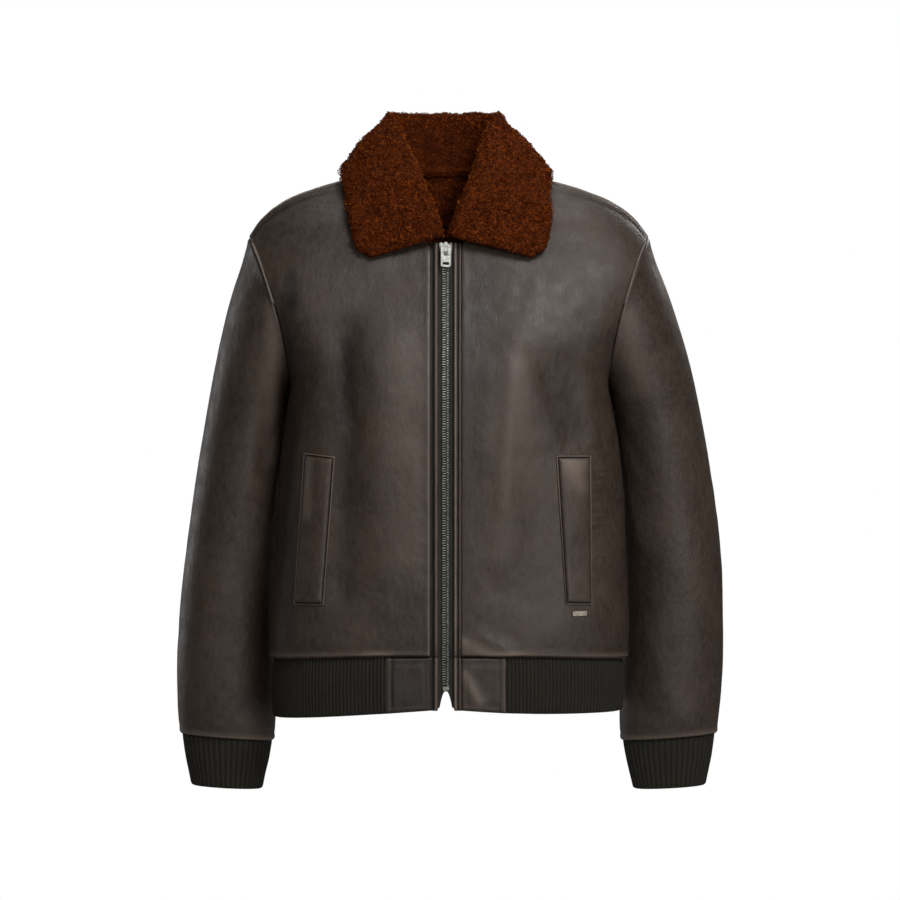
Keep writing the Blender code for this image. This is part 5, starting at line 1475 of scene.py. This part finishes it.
# %% Surface of the collar
def collar_lines(along, share, side):
    """Pile side of the collar for sections along and shares of their path."""
    row = curve_through(COLLAR_SECTIONS, along)
    seam, fold = row[..., 0:3], row[..., 3:6]
    roll, spread_out = row[..., 8:9], row[..., 9:10]
    edge = half_body(row[..., 6], row[..., 7])
    edge = edge + body_normal(row[..., 6], row[..., 7], 1) * (PILE_COLLAR + EDGE_CLEARANCE)
    up = unit(fold - (seam + edge) / 2)
    span = edge - seam
    out = unit(span - up * (span * up).sum(axis=-1, keepdims=True))
    centre = fold - up * roll
    inside, outside = centre - out * roll, centre + out * roll
    stand = inside - up * np.linalg.norm(inside - seam, axis=-1, keepdims=True) * 0.4
    length = np.linalg.norm(edge - outside, axis=-1, keepdims=True)
    fall = outside - up * length * 0.35 + out * spread_out
    a = np.clip(share / STAND_END, -1, 1)[..., None]
    b = np.clip((share - STAND_END) / (ROLL_END - STAND_END), 0, 1)[..., None]
    c = np.clip((share - ROLL_END) / (1 - ROLL_END), 0, 1)[..., None]
    first = seam * (1 - a) ** 2 + stand * 2 * a * (1 - a) + inside * a ** 2
    arc = centre - out * roll * np.cos(math.pi * b) + up * roll * np.sin(math.pi * b)
    last = outside * (1 - c) ** 2 + fall * 2 * c * (1 - c) + edge * c ** 2
    upper = np.where(share[..., None] < ROLL_END, arc, last)
    point = np.where(share[..., None] < STAND_END, first, upper)
    carried = to_side(point, side)
    lean = np.clip(LEAN_SHARE * (LEAN_TOP - point[..., 2]), *LEAN_LIMITS)
    away = np.where(lean > 0, smooth((np.abs(point[..., 0]) - 0.015) / 0.06), 1.0)
    carried[..., 0] += lean * away
    return carried


NECK_TUCK = 0.034
print("edge behind the neck", np.round(collar_lines(np.zeros(1), np.ones(1), 1), 3).tolist())


def collar_grid(stations, steps):
    """Grid of the whole collar from the right tip round the neck to the left tip."""
    along = np.linspace(0, len(COLLAR_SECTIONS) - 1, stations)
    share = np.linspace(-NECK_TUCK, 1, steps)
    left = collar_lines(along[:, None] + share * 0, share + along[:, None] * 0, 1)
    right = collar_lines(along[:, None] + share * 0, share + along[:, None] * 0, -1)
    return np.concatenate([right[:0:-1], left])


# %% Skin of the collar
PILE_SUNK = 0.0018
COLLAR_WALL = 0.0050
# above this height both faces of the fold show pile
ALL_PILE_HEIGHT = 0.055


def thin_at_top(points):
    """The leather side keeps close to the pile where the fold turns a tight corner."""
    return 0.0036 * smooth((points[:, 2] - 0.045) / 0.025)


STATIONS, STEPS = 170, 100
grid = collar_grid(STATIONS, STEPS)
along, over = lengths_along(grid, 0), lengths_along(grid, 1)
border = np.minimum(np.minimum(along, along[-1] - along), np.minimum(over, over[:, -1:] - over))
share = np.linspace(-NECK_TUCK, 1, STEPS) + border * 0
number = np.abs(np.linspace(1 - len(COLLAR_SECTIONS), len(COLLAR_SECTIONS) - 1, 2 * STATIONS - 1))
number = number[:, None] + border * 0
neck_seam = bump_at(share, 0.004, 0.012) * smooth((4.5 - number) / 2)
patch = Patch(grid, border, flip=True)
# painted shade inside the stand, painted highlight along the roll and on the neck seam
patch.painted_shade = smooth((STAND_END - share) / 0.10) * (1 - 0.8 * neck_seam)
patch.painted_highlight = 0.80 * bump_at(share, 0.40, 0.05) * smooth((number - 3.5) / 1.5) + 0.5 * neck_seam
patch.lift = 0.0016 * ripple(grid, 0.009) + 0.0011 * ripple(grid, 0.0045, 6.0) - PILE_SUNK
patch.lift += 0.0024 * neck_seam
patch.drop = seam_drop(border, 0.006)
collar = wall("shearling_collar", [patch], COLLAR_WALL, [collar_skin, leather], thin_at_top)
for face in collar.data.polygons:
    if face.center.z > ALL_PILE_HEIGHT:
        face.material_index = 0
sew_in(collar, ["collar"])


# %% [markdown]
# ## Curls of the collar
# The fleece stands in small hooked locks. Each is a bent tube with three sides, with its own
# length, bend and tone. Geometry Nodes could scatter instances of one curl, but then they would
# all be alike. Written as one list of points, thousands of different curls take a second.

# %% Random places on the collar
def scattered(grid, count, chance):
    """Random places on a grid, evenly over its area: cell, point, normal and one tangent."""
    a, b, c, d = grid[:-1, :-1], grid[:-1, 1:], grid[1:, 1:], grid[1:, :-1]
    normal = np.cross(c - a, d - b)
    size = np.linalg.norm(normal, axis=-1).ravel()
    pick = chance.choice(len(size), count, p=size / size.sum())
    u, v = chance.rand(2, count, 1)
    a, b, c, d = (corner.reshape(-1, 3)[pick] for corner in (a, b, c, d))
    point = a * (1 - u) * (1 - v) + b * u * (1 - v) + c * u * v + d * (1 - u) * v
    cell = np.unravel_index(pick, (grid.shape[0] - 1, grid.shape[1] - 1))
    return cell, point, unit(normal.reshape(-1, 3)[pick]), unit(b - a)


# %% Curls
CURL_RINGS = 5
CURL_SIDES = 3
CURL_LENGTH = 0.0021
# least thickness and bend, and what chance adds to them
CURL_THICKNESS = (0.00050, 0.00030)
CURL_BEND = (math.radians(160), math.radians(150))
CURLS_A_SIDE = 6500


def curls(name, part, count, seed, material):
    """Short hooked locks of pile, each a thin bent tube, on a part of the collar's grid."""
    chance = np.random.RandomState(seed)
    cell, place, normal, tangent = scattered(grid[part], count, chance)
    # painted shade and painted highlight of the skin under each curl; the shade also shortens curls
    painted_shade, painted_highlight, lift = (values[part][cell] for values in (patch.painted_shade, patch.painted_highlight, patch.lift))
    normal = -normal
    place = place + normal * lift[:, None]
    turn = chance.rand(count, 1) * 2 * math.pi
    lean = tangent * np.cos(turn) + np.cross(normal, tangent) * np.sin(turn)
    cross = np.cross(normal, lean)
    radius = CURL_LENGTH * (0.45 + 0.55 * chance.rand(count, 1)) * (1 - 0.45 * painted_shade[:, None])
    bend = CURL_BEND[0] + CURL_BEND[1] * chance.rand(count, 1)
    drift = (chance.rand(count, 1) - 0.5) * radius * 1.6
    thick = CURL_THICKNESS[0] + CURL_THICKNESS[1] * chance.rand(count, 1)
    rings = []
    for k in range(CURL_RINGS):
        t = k / (CURL_RINGS - 1)
        angle = bend * t
        middle = place + normal * (radius * np.sin(angle) * 0.9)
        middle = middle + lean * radius * (1 - np.cos(angle)) * 0.8 + cross * drift * t
        outward = normal * np.sin(angle) - lean * np.cos(angle)
        wide = thick * (1.0 - 0.45 * t)
        for j in range(CURL_SIDES):
            spin = 2 * math.pi * j / CURL_SIDES
            rings.append(middle + (outward * math.cos(spin) + cross * math.sin(spin)) * wide)
    points = np.stack(rings, axis=1)
    each = CURL_RINGS * CURL_SIDES
    n = np.arange(each).reshape(CURL_RINGS, CURL_SIDES)
    faces = [(n[k + 1, j], n[k + 1, (j + 1) % CURL_SIDES], n[k, (j + 1) % CURL_SIDES], n[k, j])
             for k in range(CURL_RINGS - 1) for j in range(CURL_SIDES)]
    first = (np.arange(count) * each)[:, None]
    tubes = (np.array(faces)[None] + first[..., None]).reshape(-1, 4)
    caps = np.concatenate([n[-1][::-1][None] + first, n[0][None] + first])
    faces = tubes.tolist() + caps.tolist()
    thing = many_small(name, points.reshape(-1, 3), faces, material)
    height = np.sin(np.linspace(0, 2.2, CURL_RINGS))
    write_attribute(thing, "tip", np.tile(np.repeat(height, CURL_SIDES), count))
    for key, values in (("tint", chance.rand(count)), ("painted_shade", painted_shade), ("painted_highlight", painted_highlight)):
        write_attribute(thing, key, np.repeat(values, each))
    print(name, count, "curls", len(tubes) * 2 + len(caps), "triangles")


half = len(grid) // 2
curls("collar_curls_right", slice(None, half + 1), CURLS_A_SIDE, 11, collar_pile)
curls("collar_curls_left", slice(half, None), CURLS_A_SIDE, 12, collar_pile)

# %% [markdown]
# ## Pocket welts and lapped strips
# A welt covers each slanted pocket. It is a padded strip set inside a thin raised edge. The
# lapped strips beside the armholes are narrow folds of leather sewn on the body. A Shrinkwrap
# modifier could press flat strips on the panel. Here both are grids laid on the panel's own
# surface and moved out from it, so they follow every fold and keep their own section.

# %% Place things on the front
SEARCH_ROUNDS = 24


def front_place(x, z, side, lift):
    """Points over the front panel at x and z, moved out by lift."""
    x, z, lift = np.broadcast_arrays(np.asarray(x, float), np.asarray(z, float), np.asarray(lift, float))
    at, across = np.full(x.shape, 3.0), np.full(x.shape, 0.5)
    for _ in range(SEARCH_ROUNDS):
        here = body(at, across, side)
        over = (body(at, across + 0.01, side) - here) / 0.01
        up = (body(at + 0.05, across, side) - here) / 0.05
        across = np.clip(across + (x - here[..., 0] * side) / (over[..., 0] * side) * 0.8, 0.0, 0.98)
        at = np.clip(at + (z - here[..., 2]) / up[..., 2] * 0.8, 0.0, SHOULDER_ROW - 0.1)
    point, normal = body(at, across, side), body_normal(at, across, side)
    relief = folds_at(FRONT_CREASES, point[..., 0], point[..., 2])
    return point + normal * (lift + relief)[..., None], normal


# %% Sew on the welts
WELT_WALL = 0.0022
WELT_CORNERS = {
    -1: ((0.1370, -0.3400), (0.1710, -0.3360), (0.1835, -0.5170), (0.1505, -0.5170)),
    1: ((0.1360, -0.3390), (0.1745, -0.3390), (0.1765, -0.5170), (0.1470, -0.5160)),
}
# distance from the welt's edge in mm, height in mm: lip, groove, padded strip
WELT_PROFILE = np.array(((-2.6, 0.0), (-2.2, 0.9), (-1.6, 1.5), (-0.9, 1.4), (-0.3, 0.7), (0.2, 0.3),
                         (0.9, 1.3), (2.0, 2.6), (3.6, 3.4), (6.5, 3.9), (12.0, 4.0))) / 1000
# painted highlights on the welts: ends (x, z), half width, strength
WELT_HIGHLIGHTS = (
    (0.150, -0.344, 0.164, -0.346, 0.0120, 0.45),
    (0.153, -0.352, 0.164, -0.372, 0.0110, 0.40),
    (-0.168, -0.345, -0.170, -0.410, 0.0050, 0.40),
)
for side, word in SIDES:
    a, b, c, d = (np.array(corner) for corner in WELT_CORNERS[side])
    wide, long = np.linalg.norm(b - a), np.linalg.norm(d - a)
    edges = WELT_PROFILE[:, 0]
    middle = np.linspace(0.012, wide - 0.012, 5)[1:-1]
    across = np.concatenate([edges, middle, wide - edges[::-1]]) / wide
    middle = np.linspace(0.012, long - 0.012, 44)[1:-1]
    down = np.concatenate([edges, middle, long - edges[::-1]]) / long
    down, across = np.meshgrid(down, across, indexing="ij")
    place = a + (b - a) * across[..., None]
    place = place + ((d - a) + ((c - b) - (d - a)) * across[..., None]) * down[..., None]
    gap = np.minimum(np.minimum(across, 1 - across) * wide, np.minimum(down, 1 - down) * long)
    height = np.interp(gap, WELT_PROFILE[:, 0], WELT_PROFILE[:, 1])
    surface, normal = front_place(place[..., 0], place[..., 1], side, 0.0003)
    height = height + 0.0006 * ripple(surface, 0.02) * smooth(gap / 0.005)
    height = height - 0.0012 * smooth(gap / 0.01) * smooth((down - 0.3) / 0.7)
    points = surface + normal * height[..., None]
    patch = Patch(points, np.abs(gap - 0.0002), -normal, np.ones_like(down), flip=side > 0)
    # painted highlight along the welt's raised lip and on its padded top
    patch.painted_highlight = 0.65 * bump_at(gap, -0.0013, 0.0007) * (1 - 0.6 * down)
    patch.painted_highlight += folds_at(WELT_HIGHLIGHTS, points[..., 0], points[..., 2]) * smooth(gap / 0.004)
    welt = wall("leather_welt_" + word, [patch], WELT_WALL, [leather])
    sew_in(welt, ["pocket_welt_" + word])

# %% Lapped strips beside the armholes
# rows between which the strips lie, and share of a row for one step across them
RIDGES = {"front": (9.7, 12.2), "back": (15.2, 17.5)}
RIDGE_STEP = 0.019
RIDGE_WALL = 0.0016
RIDGE_ACROSS = np.array((1.35, 1.25, 1.1, 0.9, 0.7, 0.5, 0.3, 0.2))
RIDGE_HEIGHTS = np.array((0.2, 1.3, 2.2, 2.7, 2.7, 2.1, 1.1, 0.2)) / 1000
for side, word in SIDES:
    for place, (low, high) in RIDGES.items():
        at = np.linspace(low, high, 48)[:, None] + RIDGE_ACROSS * 0
        across = 1 - RIDGE_STEP * RIDGE_ACROSS + at * 0
        taper = np.minimum(1, np.minimum(at - low, high - at) / 0.03 * 0.5 + 0.25)
        surface, normal = body(at, across, side), body_normal(at, across, side)
        points = surface + normal * (0.0004 + RIDGE_HEIGHTS * taper)[..., None]
        steps = np.minimum(RIDGE_ACROSS[0] - RIDGE_ACROSS, RIDGE_ACROSS - RIDGE_ACROSS[-1])
        edge = steps * 0.004 + at * 0
        patch = Patch(points, edge + 0.001, -normal, np.ones_like(at), flip=side < 0)
        # painted highlight along the crest of the strip
        patch.painted_highlight = 0.6 * bump_at(RIDGE_ACROSS, 0.85, 0.3) + at * 0
        strip = wall("leather_ridge_%s_%s" % (place, word), [patch], RIDGE_WALL, [leather])
        sew_in(strip, ["armhole_ridge_%s_%s" % (place, word)])

# %% [markdown]
# ## Small metal
# The slider, its pull, the stop and the small plate are hard parts, and their CAD solids already
# have the right form. They are kept. A Bevel modifier softens their edges, because no cast or
# pressed edge is quite sharp and only a rounded one catches a line of light.

# %% Slider, pull, stop and tag
for name, finish, edge in (("zip_slider", nickel, 0.0003), ("zip_pull", nickel, 0.0003),
                           ("zip_stop", teeth_metal, 0.0002), ("metal_tag", tag_metal, 0.0001)):
    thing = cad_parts[name]
    for slot in thing.material_slots:
        slot.material = finish
    soften = thing.modifiers.new("soft edge", "BEVEL")
    soften.width = edge
    soften.segments = 2
    soften.limit_method = "ANGLE"
    print(name, "faces", len(thing.data.polygons))


# %% [markdown]
# ## Stitching
# A lockstitch is a row of short beads of thread, each pulled a little into the leather. Bumps
# would vanish in the leather's grain, so the beads are small capsules along lines on the
# surface. Rows run beside the zip and round the tabs.

# %% Stitches
STITCH_PITCH = 0.0036
STITCH_LENGTH = 0.0027
THREAD_RADIUS = 0.00034
# place along a bead and share of its full thickness there
BEAD_RINGS = ((-0.5, 0.25), (-0.38, 0.8), (0.0, 1.0), (0.38, 0.8), (0.5, 0.25))
BEAD_SIDES = 6
BEAD_POINTS = len(BEAD_RINGS) * BEAD_SIDES


def stitch_rows(name, lines, normals):
    """One mesh of beads along several lines of points."""
    places, runs, outs = [], [], []
    for line, normal in zip(lines, normals):
        reach = lengths_along(line)
        wanted = np.arange(STITCH_PITCH, reach[-1] - STITCH_PITCH / 2, STITCH_PITCH)
        places.append(np.stack([np.interp(wanted, reach, line[:, k]) for k in range(3)], axis=-1))
        ahead = np.stack([np.interp(wanted + 0.001, reach, line[:, k]) for k in range(3)], axis=-1)
        runs.append(unit(ahead - places[-1]))
        outs.append(np.stack([np.interp(wanted, reach, normal[:, k]) for k in range(3)], axis=-1))
    place, run, out = (np.concatenate(parts) for parts in (places, runs, outs))
    out = unit(out)
    wide = np.cross(run, out)
    rings = []
    for along, thick in BEAD_RINGS:
        for j in range(BEAD_SIDES):
            spin = 2 * math.pi * j / BEAD_SIDES
            round_it = out * math.cos(spin) * 0.8 + wide * math.sin(spin)
            lift = 0.00022 * (1 - (along * 2) ** 2)
            centre = place + run * along * STITCH_LENGTH + out * lift
            rings.append(centre + round_it * THREAD_RADIUS * thick)
    points = np.stack(rings, axis=1)
    n = np.arange(BEAD_POINTS).reshape(len(BEAD_RINGS), BEAD_SIDES)
    after = np.roll(n, -1, axis=1)
    sides = np.stack([n[:-1], after[:-1], after[1:], n[1:]], axis=-1).reshape(-1, 4)
    first = np.arange(len(place))[:, None] * BEAD_POINTS
    every = (sides[None] + first[..., None]).reshape(-1, 4).tolist()
    for start in first[:, 0].tolist():
        every.append((start + n[0][::-1]).tolist())
        every.append((start + n[-1]).tolist())
    many_small(name, points.reshape(-1, 3), every, thread)
    print(name, len(place), "stitches")


# %% Rows of stitching
STITCH_LINE = {-1: 0.0212, 1: 0.0165}
STITCH_LOW, STITCH_HIGH = -0.572, -0.100
TAB_MARGIN, TAB_STITCH_LIFT = 0.0058, 0.0012


def along_zip(side, x, low, high):
    """Line beside the zip: on the right front, and on the left band, which is the wider one."""
    z = np.linspace(low, high, 300)
    if side < 0:
        return front_place(np.full(300, x), z, side, 0.0003)
    line = np.stack([np.full(300, x), zip_face(z) - 0.0010, z], axis=-1)
    return line, np.broadcast_to((0.0, -1.0, 0.0), line.shape)


def on_tab(side, distances, downs, lift):
    """Points on a tab at distances from the zip and shares of its height."""
    point, inward = hem_place(distances)
    foot = hem_foot(point, side)
    point[..., 2] += (foot - point[..., 2]) * downs
    out = -inward * (side, 1, 1)
    return to_side(point, side) + out * lift, out


for side, word in SIDES:
    rows = [along_zip(side, STITCH_LINE[side], STITCH_LOW, STITCH_HIGH)]
    ones = np.ones(60)
    inner, outer = TAB_MARGIN, TAB_REACH - TAB_MARGIN
    up, over = np.linspace(0.10, 0.915, 60), np.linspace(inner, outer, 60)
    for distances, downs in ((ones * outer, up), (over, ones * 0.915), (ones * inner, up)):
        rows.append(on_tab(side, distances, downs, TAB_STITCH_LIFT))
    stitch_rows("stitches_" + word, [row[0] for row in rows], [row[1] for row in rows])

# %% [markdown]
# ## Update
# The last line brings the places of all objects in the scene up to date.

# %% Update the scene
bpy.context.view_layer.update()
